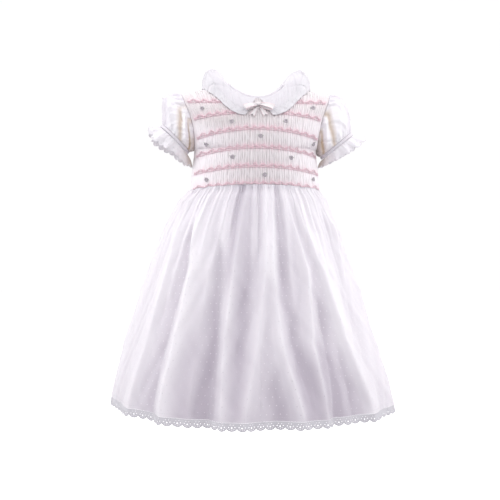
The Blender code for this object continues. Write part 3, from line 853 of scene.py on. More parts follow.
    gathers: tuple[Gathers, ...] = (
        Gathers(168.0, 0.00085, 0.085, 41),
        Gathers(74.0, 0.00150, 0.20, 44, 0.015),
        Gathers(36.0, 0.00200, 0.42, 47, 0.05),
    )

    def height(self, across: Array, along: Array) -> Array:
        """Height of a place on the skirt."""
        ahead = np.cos(across) > 0
        arch = np.where(ahead, BODY.front_waist_arch, BODY.back_waist_arch)
        top = BODY.waist_side_height + arch * np.cos(across) ** 2 - SEAM_GAP
        ends = np.where(ahead, self.front_hem, self.back_hem)
        sides = np.where(np.sin(across) > 0, self.right_hem, self.left_hem)
        hem = ends * np.cos(across) ** 2 + sides * np.sin(across) ** 2
        below = np.maximum(along - 1.0, 0.0)
        return blend(top, hem, np.minimum(along, 1.0)) - below * self.lace_height

    def sizes(self, across: Array, along: Array) -> tuple[Array, Array, Array]:
        """Sizes of the skirt at places round and down it.

        Args:
            across: Angles from centre front.
            along: Places from waist to hem.

        Returns:
            Height, half width and depth.
        """
        height = self.height(across, along)
        half = self.table.read("height", "half_width", height)
        front = self.table.read("height", "front_depth", height)
        back = self.table.read("height", "back_depth", height)
        return height, half, np.where(np.cos(across) > 0, front, back)

    def base(self, across: Array, along: Array) -> Array:
        """Points of the skirt with no folds."""
        height, half, depth = self.sizes(across, along)
        sway = self.table.read("height", "sway", height)
        ahead = np.where(np.cos(across) > 0, -1.0, 1.0)
        y = ahead * depth * rounded(np.sin(across), BODY.section_power)
        return np.stack([half * np.sin(across) + sway, y, height], axis=-1)

    def bare_normal(self, across: Array, along: Array) -> Array:
        """Level direction out from the skirt."""
        height, half, depth = self.sizes(across, along)
        return unit(np.stack([np.sin(across) / half, -np.cos(across) / depth, 0 * height], axis=-1))

    def relief(self, across: Array, along: Array) -> Array:
        """Folds, creases and waist gathers."""
        share = np.clip(along, 0.0, 1.0)
        degrees = np.degrees(across)
        total = np.zeros(np.shape(across))
        for fold in self.folds.records():
            early = blend(fold["waist"], fold["middle"], smooth_step(2 * share))
            ridge = early + (fold["hem"] - fold["middle"]) * smooth_step(2 * share - 1)
            total += fold["height"] * bell(wrapped(degrees - ridge), fold["half_width"])
        mean = self.fold_mean * np.mean(self.folds.column("height"))
        total = (total - mean) * smooth_step(share / self.fold_start)
        total = total * blend(self.fold_waist_share, 1.0, share) * self.broad_share
        total += self.lines.at(degrees, share) * blend(0.5, 1.0, smooth_step(share / 0.35))
        total -= self.ridge_mean * smooth_step(share / self.fold_start)
        turn = (across / (2 * math.pi)) % 1.0
        for gather in self.gathers:
            total += gather.at(turn, share)
        calm = smooth_step(share * 3)
        total += self.long_ripple * calm * ripple(turn * 3.0 + 0.35 * share, 52, 0.21, 5)
        total += self.short_ripple * calm * ripple(share * 2.0 - turn * 9.0, 53, 0.45, 5)
        return total


@dataclass(frozen=True)
class SleeveForm(RoundForm):
    """A puff sleeve: across is the turn round the arm, along runs from armhole to cuff."""

    side: Side = Side.RIGHT
    cuff_y: float = -0.0040
    puff: float = 0.0100
    under_puff_share: float = 0.40
    top_power: float = 1.3
    under_reach: float = 0.0020
    cuff_top_reach: float = 0.0270
    cuff_under_reach: float = 0.0030
    outward_lean: float = 0.35
    fold_count: int = 7
    fold_height: float = 0.0012
    ripple_height: float = 0.0010
    left_lines: FoldLines = FoldLines(
        (0.10, 0.35, 0.70, 1.00),
        (
            (-0.2, 2, 62, 83, 91, 105, -0.0042, 8, 6),
            (-0.2, 2, 82, 97, 112, 134, 0.0034, 6, 6),
            (-0.2, 2, 90, 116, 140, 152, -0.0034, 5, 6),
            (0.15, 2, 40, 50, 58, 66, 0.0024, 9, 9),
            (0.30, 2, 24, 30, 36, 42, -0.0016, 6, 6),
            (-0.2, 2, -58, -78, -90, -104, -0.0038, 7, 6),
            (-0.2, 2, -80, -98, -114, -130, 0.0032, 6, 6),
            (-0.2, 2, -96, -120, -140, -152, -0.0030, 6, 6),
            (0.20, 2, -34, -42, -50, -58, 0.0022, 9, 9),
        ),
    )
    right_lines: FoldLines = FoldLines(
        (0.10, 0.35, 0.70, 1.00),
        (
            (-0.2, 2, 78, 91, 96, 104, -0.0040, 7, 5),
            (-0.2, 2, 91, 106, 118, 128, 0.0034, 6, 6),
            (-0.2, 2, 110, 126, 136, 150, -0.0034, 6, 6),
            (0.10, 2, 56, 66, 74, 84, 0.0026, 8, 8),
            (0.30, 2, 30, 38, 46, 54, -0.0016, 6, 6),
            (-0.2, 2, -66, -82, -92, -102, -0.0038, 7, 6),
            (-0.2, 2, -86, -102, -116, -128, 0.0032, 6, 6),
            (-0.2, 2, -104, -124, -138, -150, -0.0030, 6, 6),
            (0.20, 2, -40, -48, -56, -64, 0.0022, 9, 9),
        ),
    )
    table: Table = Table(
        (
            "side", "top_reach", "top_lift", "outer_puff", "cuff_x", "cuff_z", "cuff_tilt",
            "cuff_radius",
        ),
        (
            (1, 0.031, 0.0020, 0.0150, 0.1260, -0.0925, 39, 0.0308),
            (-1, 0.041, 0.0010, 0.0190, 0.1232, -0.0846, 45, 0.0295),
        ),
    )
    gathers: tuple[Gathers, ...] = (
        Gathers(34.0, 0.0009, 0.20, 61),
        Gathers(15.0, 0.0016, 0.42, 64),
    )
    cuff_gathers: tuple[Gathers, ...] = (
        Gathers(32.0, 0.0008, 0.16, 71),
        Gathers(13.0, 0.0015, 0.36, 74),
    )

    @property
    def values(self) -> dict:
        """The table's row for this side."""
        return next(row for row in self.table.records() if row["side"] == self.side.value)

    def mirrored(self, points: Array) -> Array:
        """Turn right-hand points into this side's."""
        return points * np.array([self.side.value, 1.0, 1.0])

    def axes(self) -> tuple[Array, Array, Array]:
        """The right cuff's directions.

        Returns:
            Up its outer side, to the front, and along the arm.
        """
        tilt = math.radians(self.values["cuff_tilt"])
        outer = np.array([math.cos(tilt), 0.0, math.sin(tilt)])
        return outer, np.array([0.0, -1.0, 0.0]), np.array([math.sin(tilt), 0.0, -math.cos(tilt)])

    @staticmethod
    def from_armhole(turn: Array) -> Array:
        """Directions out from the middle of the right armhole."""
        return np.stack([0 * turn, -np.sin(turn), np.cos(turn)], axis=-1)

    def from_cuff(self, turn: Array) -> Array:
        """Directions out from the middle of the right cuff."""
        outer, ahead, _ = self.axes()
        return np.cos(turn)[..., None] * outer + np.sin(turn)[..., None] * ahead

    @staticmethod
    def armhole(turn: Array) -> Array:
        """Points round the right armhole.

        Args:
            turn: Turns round it, 0 at the top.

        Returns:
            An array with a last axis of x, y and z.
        """
        middle, half = BODY.armhole_span
        power = 2.0 / BODY.armhole_power
        up, ahead = np.cos(turn), np.sin(turn)
        height = middle + half * np.sign(up) * np.abs(up) ** power
        y = -BODY.armhole_half_depth * np.sign(ahead) * np.abs(ahead) ** power
        return np.stack([BODY.edge_x(height) + 2 * SEAM_GAP, y, height], axis=-1)

    def ring(self, turn: Array, spread: Array, down: Array) -> Array:
        """Points round the right arm at the cuff.

        Args:
            turn: Turns round it, 0 at the top.
            spread: Distances out from the cuff's own radius.
            down: Distances down the arm from the cuff's seam.

        Returns:
            An array with a last axis of x, y and z.
        """
        centre = np.array([self.values["cuff_x"], self.cuff_y, self.values["cuff_z"]])
        radius = (self.values["cuff_radius"] + spread + 0 * turn)[..., None]
        return centre + radius * self.from_cuff(turn) + (down + 0 * turn)[..., None] * self.axes()[2]

    def base(self, across: Array, along: Array) -> Array:
        """Points of the plain puff sleeve."""
        turn, share = across, along[..., None]
        values = self.values
        start, end = self.armhole(turn), self.ring(turn, 0.0, 0.0)
        top = ((1.0 + np.cos(turn)) / 2)[..., None]
        side = np.abs(np.sin(turn))[..., None]
        outward = top**self.top_power
        reach = blend(self.under_reach, values["top_reach"], outward)
        lift = values["top_lift"] * top + self.puff * side * blend(self.under_puff_share, 1.0, top)
        first = start + reach * np.array([1.0, 0.0, 0.0]) + lift * self.from_armhole(turn)
        up_arm = blend(self.cuff_under_reach, self.cuff_top_reach, outward)
        swell = values["outer_puff"] * top + self.puff * side
        second = end - up_arm * self.axes()[2] + swell * self.from_cuff(turn)
        grid = (1 - share) ** 3 * start + 3 * share * (1 - share) ** 2 * first
        grid = grid + 3 * share**2 * (1 - share) * second + share**3 * end
        return self.mirrored(grid)

    def bare_normal(self, across: Array, along: Array) -> Array:
        """Direction out from the arm, between the armhole's and the cuff's."""
        share = along[..., None]
        out = (1 - share) * self.from_armhole(across) + share * self.from_cuff(across)
        out = out + np.array([self.outward_lean, 0.0, 0.0]) * share * (1 - share)
        return self.mirrored(unit(out))

    def long_folds(self, across: Array, along: Array) -> Array:
        """Folds from the armhole down to the cuff."""
        lines = self.right_lines if self.side is Side.RIGHT else self.left_lines
        return lines.at(np.degrees(across), along)

    def relief(self, across: Array, along: Array) -> Array:
        """Folds from the head and the cuff, and in under the arm."""
        top = (1.0 + np.cos(across)) / 2
        swell = np.sin(math.pi * np.clip(along, 0, 1)) ** 0.6
        total = self.fold_height * np.cos(self.fold_count * across) * swell * top
        total = total + self.long_folds(across, along) * swell
        turn = (across / (2 * math.pi)) % 1.0
        hold = 0.35 + 0.65 * smooth_step(1.6 * top)
        for gather in self.gathers:
            total = total + gather.at(turn, along) * hold
        for gather in self.cuff_gathers:
            total = total + gather.at(turn, 1.0 - along) * hold
        uneven = ripple(turn * 2.0 + 0.3 * along, 77 + self.side.value, 0.19, 5)
        total = total + self.ripple_height * swell * uneven
        return total * smooth_step(along * 30) * smooth_step((1 - along) * 30)


@dataclass(frozen=True)
class CuffForm(SleeveForm):
    """The narrow cuff band: along 0 is the sleeve's seam and 1 the frill's."""

    width: float = 0.0050
    face_height: float = 0.0006
    puckers: int = 36
    pucker_height: float = 0.00025

    def base(self, across: Array, along: Array) -> Array:
        """Points round the band."""
        return self.mirrored(self.ring(across, 0.0, blend(2 * SEAM_GAP, self.width, along)))

    def bare_normal(self, across: Array, along: Array) -> Array:
        """Direction square to the arm."""
        return super().bare_normal(across, np.ones(np.shape(across)))

    def relief(self, across: Array, along: Array) -> Array:
        """The band's rounded face, with slight puckers."""
        round_face = self.face_height * np.sqrt(np.clip(1 - (2 * along - 1) ** 2, 0, 1))
        pucker = self.pucker_height * np.cos(self.puckers * across + 2 * ripple(across, 81, 2.1))
        return round_face + pucker


@dataclass(frozen=True)
class FrillForm(CuffForm):
    """The cuff frill: along 0 is the cuff band and 1 its scalloped edge."""

    flare_power: float = 0.8
    under_power: float = 0.45
    under_turn: float = 0.6
    # Strength of the painted tan shade nearest the bodice.
    tan_shading: float = 0.85
    waves: int = 12
    wave_height: float = 0.0028
    gather_height: float = 0.0007
    left_edge: Table = Table(
        ("turn", "width", "flare"),
        (
            (0.0, 0.0135, 0.0100),
            (0.5, 0.0190, 0.0100),
            (1.0, 0.0240, 0.0095),
            (1.45, 0.0215, 0.0070),
            (1.85, 0.0165, 0.0065),
            (2.4, 0.0150, 0.0115),
            (math.pi, 0.0090, 0.0200),
        ),
    )
    right_edge: Table = Table(
        ("turn", "width", "flare"),
        (
            (0.0, 0.0160, 0.0115),
            (0.9, 0.0195, 0.0090),
            (1.57, 0.0175, 0.0060),
            (2.2, 0.0130, 0.0070),
            (math.pi, 0.0060, 0.0138),
        ),
    )

    def edge(self, name: str, across: Array) -> Array:
        """Width or flare of the frill round the arm."""
        table = self.right_edge if self.side is Side.RIGHT else self.left_edge
        return table.read("turn", name, turn_from_top(across))

    def base(self, across: Array, along: Array) -> Array:
        """Points of the flared frill with no waves."""
        power = blend(self.flare_power, self.under_power, self.under_arm(across))
        spread = self.edge("flare", across) * np.clip(along, 0.0, None) ** power
        down = self.width + 2 * SEAM_GAP + self.edge("width", across) * along
        return self.mirrored(self.ring(across, spread, down))

    def under_arm(self, across: Array) -> Array:
        """1 at the frill's place nearest the bodice, and 0 away from it."""
        return bell(math.pi - turn_from_top(across), self.under_turn)

    def painted_lace_shade(self, across: Array, along: Array) -> Array:
        """How far the frill takes its painted tan shade, most where it lies nearest the bodice."""
        return self.tan_shading * self.under_arm(across) * blend(1.0, 0.7, along)

    def relief(self, across: Array, along: Array) -> Array:
        """Flutes that open towards the edge, uneven round the arm."""
        phase = self.waves * across + 0.9 * ripple(across, 91 + self.side.value, 2.3)
        flute = self.wave_height * along * np.cos(phase) * (1 + 0.3 * ripple(across, 93, 1.7))
        flute = flute * blend(1.0, 0.35, self.under_arm(across))
        fine = self.gather_height * np.cos(3 * phase + 1.0) * bell(along, 0.35)
        return flute + fine


@dataclass(frozen=True)
class CollarForm(Form):
    """A collar half: across runs from centre front to centre back, along from neck to edge."""

    side: Side = Side.RIGHT
    middle = (0.15, 0.5)
    inside = (0.0, 0.0, -0.04)
    stand_height: float = 0.0300
    stand_lean: float = 0.25
    hump_power: float = 1.7
    hump_lean: float = 1.15
    clearance: float = 0.0029
    start_clearance: float = 0.0021
    clearance_share: float = 0.33
    cloth_share: float = 0.68
    seam_share: float = 0.030
    soft_height: float = 0.0004
    wave_height: float = 0.0006
    flutes: float = 9.0
    right_reach: float = 1.05
    table: Table = Table(
        ("station", "face", "neck_x", "neck_z", "edge_x", "edge_z", "stand"),
        (
            (0, -1, 0.0030, -0.0285, 0.0200, -0.0570, 0.00),
            (1, -1, 0.0120, -0.0275, 0.0330, -0.0540, 0.00),
            (2, -1, 0.0220, -0.0235, 0.0470, -0.0445, 0.00),
            (3, -1, 0.0320, -0.0170, 0.0590, -0.0310, 0.05),
            (4, -1, 0.0400, -0.0100, 0.0710, -0.0195, 0.35),
            (5, 0, 0.0450, -0.0030, 0.0810, -0.0100, 0.92),
            (6, 1, 0.0400, -0.0080, 0.0740, -0.0230, 1.00),
            (7, 1, 0.0300, -0.0140, 0.0600, -0.0400, 0.75),
            (8, 1, 0.0190, -0.0180, 0.0420, -0.0500, 0.30),
            (9, 1, 0.0100, -0.0195, 0.0240, -0.0540, 0.05),
        ),
    )

    def read(self, name: str, across: Array) -> Array:
        """Read the collar's table at a share of its length."""
        return self.table.read("station", name, np.clip(across, 0, 1) * (len(self.table.rows) - 1))

    def base(self, across: Array, along: Array) -> Array:
        """Points of the collar: flat on chest and back, standing up at the shoulder."""
        reach = self.right_reach if self.side is Side.RIGHT else 1.0
        x = blend(self.read("neck_x", across), reach * self.read("edge_x", across), along)
        height = blend(self.read("neck_z", across), self.read("edge_z", across), along)
        clear = np.clip(along / self.clearance_share, 0.0, 1.0)
        rise = blend(self.start_clearance, self.clearance, clear)
        ahead = BODY.point(x, height, Face.FRONT, rise)
        behind = BODY.point(x, height, Face.BACK, rise + BODY.lap_rise(x))
        back_share = smooth_step((self.read("face", across) + 1.0) / 2.0)[..., None]
        flat = blend(ahead, behind, back_share)
        hump = rounded(2 * np.clip(along, 0, 1) ** self.hump_lean - 1, self.hump_power)
        stand = self.read("stand", across) * self.stand_height
        flat[..., 2] += stand * hump
        flat[..., 0] += self.stand_lean * stand * hump * along
        return flat * np.array([self.side.value, 1.0, 1.0])

    def relief(self, across: Array, along: Array) -> Array:
        """Soft ripples on the cloth and flutes on the lace edging."""
        uneven = ripple(across * 3 + along, 101 + self.side.value, 0.33)
        soft = self.soft_height * uneven * smooth_step(3 * along)
        start = self.cloth_share + self.seam_share
        share = np.clip((along - start) / (1.0 - start), 0.0, 1.0)
        phase = self.flutes * 2 * math.pi * across + 0.7 * ripple(across, 103 + self.side.value, 0.23)
        return soft + self.wave_height * share * (1.0 + np.cos(phase))


# ---------------------------------------------------------------------------------------------
# Meshes


@dataclass
class PieceMesh:
    """Points, faces and masks gathered for the mesh of one piece."""

    name: str
    points: list[Array] = field(default_factory=list)
    faces: list[Array] = field(default_factory=list)
    corners: list[Array] = field(default_factory=list)
    marks: list[Array] = field(default_factory=list)
    finishes: list[int] = field(default_factory=list)
    count: int = 0

    def add(
        self, points: Array, groups: list[tuple[Array, Array]],
        tint: Array | float = 0.0, valley: Array | float = 0.0, finish: int = 0,
    ) -> None:
        """Add points and faces.

        Args:
            points: Points, one in a row.
            groups: Faces as numbers of these points, each with its corners' places on the flat
                cloth, in metres.
            tint: How far each point takes the finish's second colour, which is painted light on some pieces.
            valley: How far each point takes the painted shade.
            finish: Which of the piece's finishes the faces take.
        """
        points = np.asarray(points, float).reshape(-1, 3)
        self.points.append(points)
        for faces, corners in groups:
            self.faces.append(faces + self.count)
            self.corners.append(np.asarray(corners, float).reshape(-1, 2))
            self.finishes.extend([finish] * len(faces))
        marks = [np.broadcast_to(np.asarray(mark, float).ravel(), len(points)) for mark in (tint, valley)]
        self.marks.append(np.stack(marks, axis=-1))
        self.count += len(points)

    def add_skins(
        self, outer: Array, inner: Array, faces: Array, places: Array, tint: Array | float = 0.0
    ) -> None:
        """Add a closed plate between two skins of the same triangles.

        Args:
            outer: Points of the outer skin.
            inner: The same points of the inner skin.
            faces: Triangles between them, turned either way.
            places: Place on the flat cloth of each point.
            tint: How far each point takes the finish's second colour.
        """
        corner = outer[faces]
        turned = np.cross(corner[:, 1] - corner[:, 0], corner[:, 2] - corner[:, 0])
        wrong = np.einsum("ij,ij->i", turned, (outer - inner)[faces[:, 0]]) < 0
        faces = np.where(wrong[:, None], faces[:, ::-1], faces)
        edges = np.concatenate([faces[:, [0, 1]], faces[:, [1, 2]], faces[:, [2, 0]]]).tolist()
        known = {tuple(edge) for edge in edges}
        rim = np.array([edge for edge in edges if (edge[1], edge[0]) not in known])
        size = len(outer)
        walls = np.stack([rim[:, 1], rim[:, 0], rim[:, 0] + size, rim[:, 1] + size], axis=-1)
        groups = [(faces, places[faces]), (faces[:, ::-1] + size, places[faces[:, ::-1]])]
        groups.append((walls, places[walls % size]))
        self.add(np.concatenate([outer, inner]), groups, tint=np.tile(tint + 0 * outer[:, 0], 2))

    def add_shell(
        self, outer: Array, inner: Array, flat: tuple[float, float], closed: bool = False,
        tint: Array | float = 0.0, valley: Array | float = 0.0,
    ) -> None:
        """Add a closed thin shell between two grids.

        Args:
            outer: Grid on the outer side, rows by columns.
            inner: The same grid on the inner side.
            flat: Width and length of the flat cloth, in metres.
            closed: Whether the columns run all the way round.
            tint: How far each place takes the finish's second colour.
            valley: How far each place takes the painted shade.
        """
        rows, columns = outer.shape[:2]
        spans = columns if closed else columns - 1
        i, j = np.arange(rows - 1)[:, None], np.arange(spans)[None, :]
        k = (j + 1) % columns
        low, high = i * columns, (i + 1) * columns
        quads = np.stack(np.broadcast_arrays(low + j, low + k, high + k, high + j), axis=-1)
        quads = quads.reshape(-1, 4)
        size = np.array([flat[0] / spans, flat[1] / (rows - 1)])
        steps = np.array([[0, 0], [1, 0], [1, 1], [0, 1]])
        start = np.stack(np.broadcast_arrays(j, i), axis=-1).reshape(-1, 1, 2)
        corners = (start + steps) * size
        away = rows * columns
        faces = [quads, quads[:, ::-1] + away]
        places = [corners, corners[:, ::-1]]
        edge = np.arange(spans)
        for row, turn in ((0, 1), (rows - 1, -1)):
            a = row * columns + edge
            b = row * columns + (edge + 1) % columns
            rim = np.stack([a, a + away, b + away, b], axis=-1)
            faces.append(rim[:, ::turn])
            places.append(np.repeat(np.stack([edge, edge + 0.5], axis=-1)[:, None], 4, axis=1) * size)
        if not closed:
            edge = np.arange(rows - 1) * columns
            for column, turn in ((0, 1), (columns - 1, -1)):
                a, b = edge + column, edge + columns + column
                rim = np.stack([a, b, b + away, a + away], axis=-1)
                faces.append(rim[:, ::turn])
                row = np.arange(rows - 1)
                places.append(np.repeat(np.stack([0 * row, row], axis=-1)[:, None], 4, axis=1) * size)
        faces, places = np.concatenate(faces), np.concatenate(places)
        half = rows // 2
        across, along = outer[half, 1] - outer[half, 0], outer[half + 1, 0] - outer[half, 0]
        if np.dot(np.cross(across, along), outer[half, 0] - inner[half, 0]) < 0:
            faces, places = faces[:, ::-1], places[:, ::-1]
        tints, valleys = (
            np.concatenate([np.broadcast_to(mark, outer.shape[:2]).ravel()] * 2) for mark in (tint, valley)
        )
        points = np.concatenate([outer.reshape(-1, 3), inner.reshape(-1, 3)])
        self.add(points, [(faces, places)], tints, valleys)

    def add_cloth(
        self, form: Form, places: tuple[Array, Array], wall: float, flat: tuple[float, float],
        closed: bool = False, tint: Array | float = 0.0, valley: Array | float = 0.0,
    ) -> None:
        """Add cloth of an even thickness that lies on a form.

        Args:
            form: The form.
            places: Grids of places across and along it.
            wall: Thickness of the cloth.
            flat: Width and length of the flat cloth, in metres.
            closed: Whether the columns run all the way round.
            tint: How far each place takes the finish's second colour.
            valley: How far each place takes the painted shade.
        """
        self.add_shell(form.place(*places), form.place(*places, -wall), flat, closed, tint, valley)

    def add_tubes(
        self, paths: Array, up: Array, radius: Array | float,
        sides: int = 6, flatten: float = 0.8, finish: int = 0,
    ) -> None:
        """Add closed tubes with the same number of points each.

        Args:
            paths: Points along the middle of each tube: tubes by points by 3, or one tube's points.
            up: Direction away from the cloth, one for all or one at each point.
            radius: Radius at each point.
            sides: Sides of a tube.
            flatten: Thickness away from the cloth as a share of the width.
            finish: Which of the piece's finishes they take.
        """
        paths = paths.reshape(-1, *paths.shape[-2:])
        tubes, count = paths.shape[:2]
        up = np.broadcast_to(up, paths.shape)
        radius = np.broadcast_to(radius, (tubes, count))[..., None, None]
        ahead = np.gradient(paths, axis=1)
        beside = unit(np.cross(ahead, up))
        over = unit(np.cross(beside, ahead))
        turn = even_turns(sides)[:, None]
        ring = np.cos(turn) * beside[:, :, None] + flatten * np.sin(turn) * over[:, :, None]
        skin = (paths[:, :, None] + radius * ring).reshape(tubes, -1, 3)
        points = np.concatenate([skin, paths[:, [0, -1]]], axis=1)
        i, j = np.arange(count - 1)[:, None] * sides, np.arange(sides)[None, :]
        k = (j + 1) % sides
        quads = np.stack(np.broadcast_arrays(i + j, i + sides + j, i + sides + k, i + k), axis=-1)
        side, last = np.arange(sides), count * sides
        follow = (side + 1) % sides
        caps = np.concatenate([
            np.stack([side, follow, 0 * side + last], axis=-1),
            np.stack([last - sides + follow, last - sides + side, 0 * side + last + 1], axis=-1),
        ])
        first = np.arange(tubes)[:, None, None] * points.shape[1]
        quads = (quads.reshape(1, -1, 4) + first).reshape(-1, 4)
        caps = (caps[None] + first).reshape(-1, 3)
        run = np.cumsum(np.linalg.norm(np.diff(paths, axis=1, prepend=paths[:, :1]), axis=2), axis=1)
        at = np.broadcast_to(run[:, :-1, None], (tubes, count - 1, sides))
        on = np.broadcast_to(run[:, 1:, None], at.shape)
        low, high = np.broadcast_to(side / sides, at.shape), np.broadcast_to((side + 1) / sides, at.shape)
        corners = np.stack([np.stack([at, on, on, at], -1), np.stack([low, low, high, high], -1)], axis=-1)
        groups = [(quads, corners.reshape(-1, 2)), (caps, np.zeros((len(caps), 3, 2)))]
        self.add(points.reshape(-1, 3), groups, finish=finish)

    def make(self, finishes: tuple[Material, ...]) -> Piece:
        """Turn what was gathered into an object.

        Args:
            finishes: The piece's materials, in the order of their numbers.

        Returns:
            The object, linked to the scene.
        """
        mesh = bpy.data.meshes.new(self.name)
        faces = [face for group in self.faces for face in group.tolist()]
        mesh.from_pydata(np.concatenate(self.points), [], faces)
        layer = mesh.uv_layers.new(name="cloth")
        layer.data.foreach_set("uv", np.concatenate(self.corners).ravel())
        # Two masks: the second colour with its painted light, and the painted shade.
        marks = np.concatenate(self.marks)
        for number, name in enumerate(("tint", "valley")):
            mark = mesh.attributes.new(name, "FLOAT", "POINT")
            mark.data.foreach_set("value", np.ascontiguousarray(marks[:, number]))
        for finish in finishes:
            mesh.materials.append(finish)
        mesh.polygons.foreach_set("material_index", np.array(self.finishes))
        mesh.shade_smooth()
        mesh.set_sharp_from_angle(angle=SHARP_ANGLE)
        mesh.update()
        piece = bpy.data.objects.new(self.name, mesh)
        bpy.context.scene.collection.objects.link(piece)
        return piece


def enter(piece: Piece, slot: Slot, *nodes: str) -> Piece:
    """Tell the frame about a piece.

    Args:
        piece: The piece.
        slot: The record's material slot of its finish. It is not used.
        *nodes: The solids that it stands for.

    Returns:
        The same piece.
    """
    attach(piece, ROOT)
    if nodes:
        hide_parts(*nodes)
    triangles = len(piece.data.loops) - 2 * len(piece.data.polygons)
    LOG.info(
        "%s: %d triangles, %.4f square metres, for %s",
        piece.name, triangles, shell_area(piece), ", ".join(nodes) or "no solid",
    )
    return piece


def shell_area(piece: Piece) -> float:
    """Area of one side of a thin shell.

    Args:
        piece: The shell.

    Returns:
        Square metres.
    """
    areas = np.zeros(len(piece.data.polygons))
    piece.data.polygons.foreach_get("area", areas)
    return float(areas.sum()) / 2


# ---------------------------------------------------------------------------------------------
# Finishes


class NodeMaker:
    """Short ways to add nodes to a tree and link them."""

    def __init__(self, tree: NodeTree) -> None:
        """Start on a tree.

        Args:
            tree: The node tree to add to.
        """
        self.tree = tree

    def fill(self, node: Node, inputs: dict) -> None:
        """Link or set a node's inputs.

        Args:
            node: The node.
            inputs: Sockets to link, or numbers to set, by input name or number.
        """
        for name, value in inputs.items():
            if isinstance(value, Socket):
                self.tree.links.new(value, node.inputs[name])
            else:
                node.inputs[name].default_value = value

    def add(self, kind: str, inputs: dict | None = None, **settings) -> Node:
        """Add a node.

        Args:
            kind: The node's type.
            inputs: Sockets to link, or numbers to set, by input name or number.
            **settings: Properties of the node.

        Returns:
            The node.
        """
        node = self.tree.nodes.new(kind)
        for name, value in settings.items():
            setattr(node, name, value)
        self.fill(node, inputs or {})
        return node

    def math(self, operation: str, first: object, second: object = 0.0) -> Socket:
        """Add a Math node and give its output."""
        return self.add("ShaderNodeMath", {0: first, 1: second}, operation=operation).outputs[0]

    def mix(self, share: object, first: object, second: object) -> Socket:
        """Mix two colours and give the result."""
        return self.add("ShaderNodeMix", {0: share, 6: first, 7: second}, data_type="RGBA").outputs[2]


class EffectGroups:
    """Node groups of the effects that several finishes share, each built once."""

    def __init__(self) -> None:
        """Build every group."""
        self.weave = self.build_weave()
        self.mottle = self.build_mottle()
        self.twist = self.build_twist()

    @staticmethod
    def new_group(name: str, inputs: dict[str, float], outputs: tuple[str, ...]) -> NodeTree:
        """Start a group with named number sockets.

        Args:
            name: The group's name.
            inputs: Input names and their usual values.
            outputs: Output names.

        Returns:
            The group.
        """
        group = bpy.data.node_groups.new(name, "ShaderNodeTree")
        for label, value in inputs.items():
            socket = group.interface.new_socket(label, in_out="INPUT", socket_type="NodeSocketFloat")
            socket.default_value = value
        for label in outputs:
            group.interface.new_socket(label, in_out="OUTPUT", socket_type="NodeSocketFloat")
        return group

    def build_weave(self) -> NodeTree:
        """Plain weave: threads that pass over and under each other.

        Returns:
            The group.
        """
        group = self.new_group("plain_weave", {"Spacing": 0.0006, "Unevenness": 0.4}, ("Height",))
        make = NodeMaker(group)
        given = make.add("NodeGroupInput")
        place = make.add("ShaderNodeUVMap", uv_map="cloth").outputs[0]
        noise = make.add("ShaderNodeTexNoise", {"Vector": place, "Scale": 420.0, "Detail": 1.0})
        parts = make.add("ShaderNodeSeparateXYZ", {0: place})
        turns = make.math("DIVIDE", math.pi, given.outputs["Spacing"])
        across = make.math("SINE", make.math("MULTIPLY", parts.outputs[0], turns))
        along = make.math("SINE", make.math("MULTIPLY", parts.outputs[1], turns))
        threads = make.math("ABSOLUTE", make.math("MULTIPLY", across, along))
        uneven = make.math("MULTIPLY", noise.outputs[0], given.outputs["Unevenness"])
        make.add("NodeGroupOutput", {"Height": make.math("ADD", threads, uneven)})
        return group

    def build_mottle(self) -> NodeTree:
        """Soft cloudy mask for uneven colour.

        Returns:
            The group.
        """
        group = self.new_group("soft_mottle", {"Scale": 30.0, "Contrast": 1.0}, ("Mask",))
        make = NodeMaker(group)
        given = make.add("NodeGroupInput")
        place = make.add("ShaderNodeTexCoord").outputs["Object"]
        noise = make.add(
            "ShaderNodeTexNoise", {"Vector": place, "Scale": given.outputs["Scale"], "Detail": 3.0}
        )
        centred = make.math("SUBTRACT", noise.outputs[0], 0.5)
        strong = make.math("MULTIPLY", centred, given.outputs["Contrast"])
        shifted = make.add("ShaderNodeMath", {0: strong, 1: 0.5}, operation="ADD", use_clamp=True)
        make.add("NodeGroupOutput", {"Mask": shifted.outputs[0]})
        return group

    def build_twist(self) -> NodeTree:
        """Strands that wind round a thread.

        Returns:
            The group.
        """
        group = self.new_group("twisted_strands", {"Pitch": 0.0009, "Strands": 2.0}, ("Height",))
        make = NodeMaker(group)
        given = make.add("NodeGroupInput")
        place = make.add("ShaderNodeUVMap", uv_map="cloth").outputs[0]
        parts = make.add("ShaderNodeSeparateXYZ", {0: place})
        along = make.math("DIVIDE", parts.outputs[0], given.outputs["Pitch"])
        around = make.math("MULTIPLY", parts.outputs[1], given.outputs["Strands"])
        phase = make.math("MULTIPLY", make.math("ADD", along, around), math.pi)
        make.add("NodeGroupOutput", {"Height": make.math("ABSOLUTE", make.math("SINE", phase))})
        return group


@dataclass(frozen=True)
class Finish:
    """A finish whose colour runs between two near shades."""

    name: str
    light: Colour
    dark: Colour

    def between(self, make: NodeMaker, share: Socket) -> Socket:
        """Colour between the dark shade and the light one."""
        return make.mix(share, (*self.dark, 1.0), (*self.light, 1.0))

    def sockets(self, make: NodeMaker, effects: EffectGroups) -> dict:
        """Build the nodes that feed the shader.

        Args:
            make: Adds nodes to the material.
            effects: The shared node groups.

        Returns:
            What each of the shader's sockets takes: a node's output, or a number or colour.
        """
        raise NotImplementedError

    def build(self, effects: EffectGroups) -> Material:
        """Make the material.

        Args:
            effects: The shared node groups.

        Returns:
            The material.
        """
        material = bpy.data.materials.new(self.name)
        material.use_nodes = True
        make = NodeMaker(material.node_tree)
        make.fill(material.node_tree.nodes["Principled BSDF"], self.sockets(make, effects))
        return material


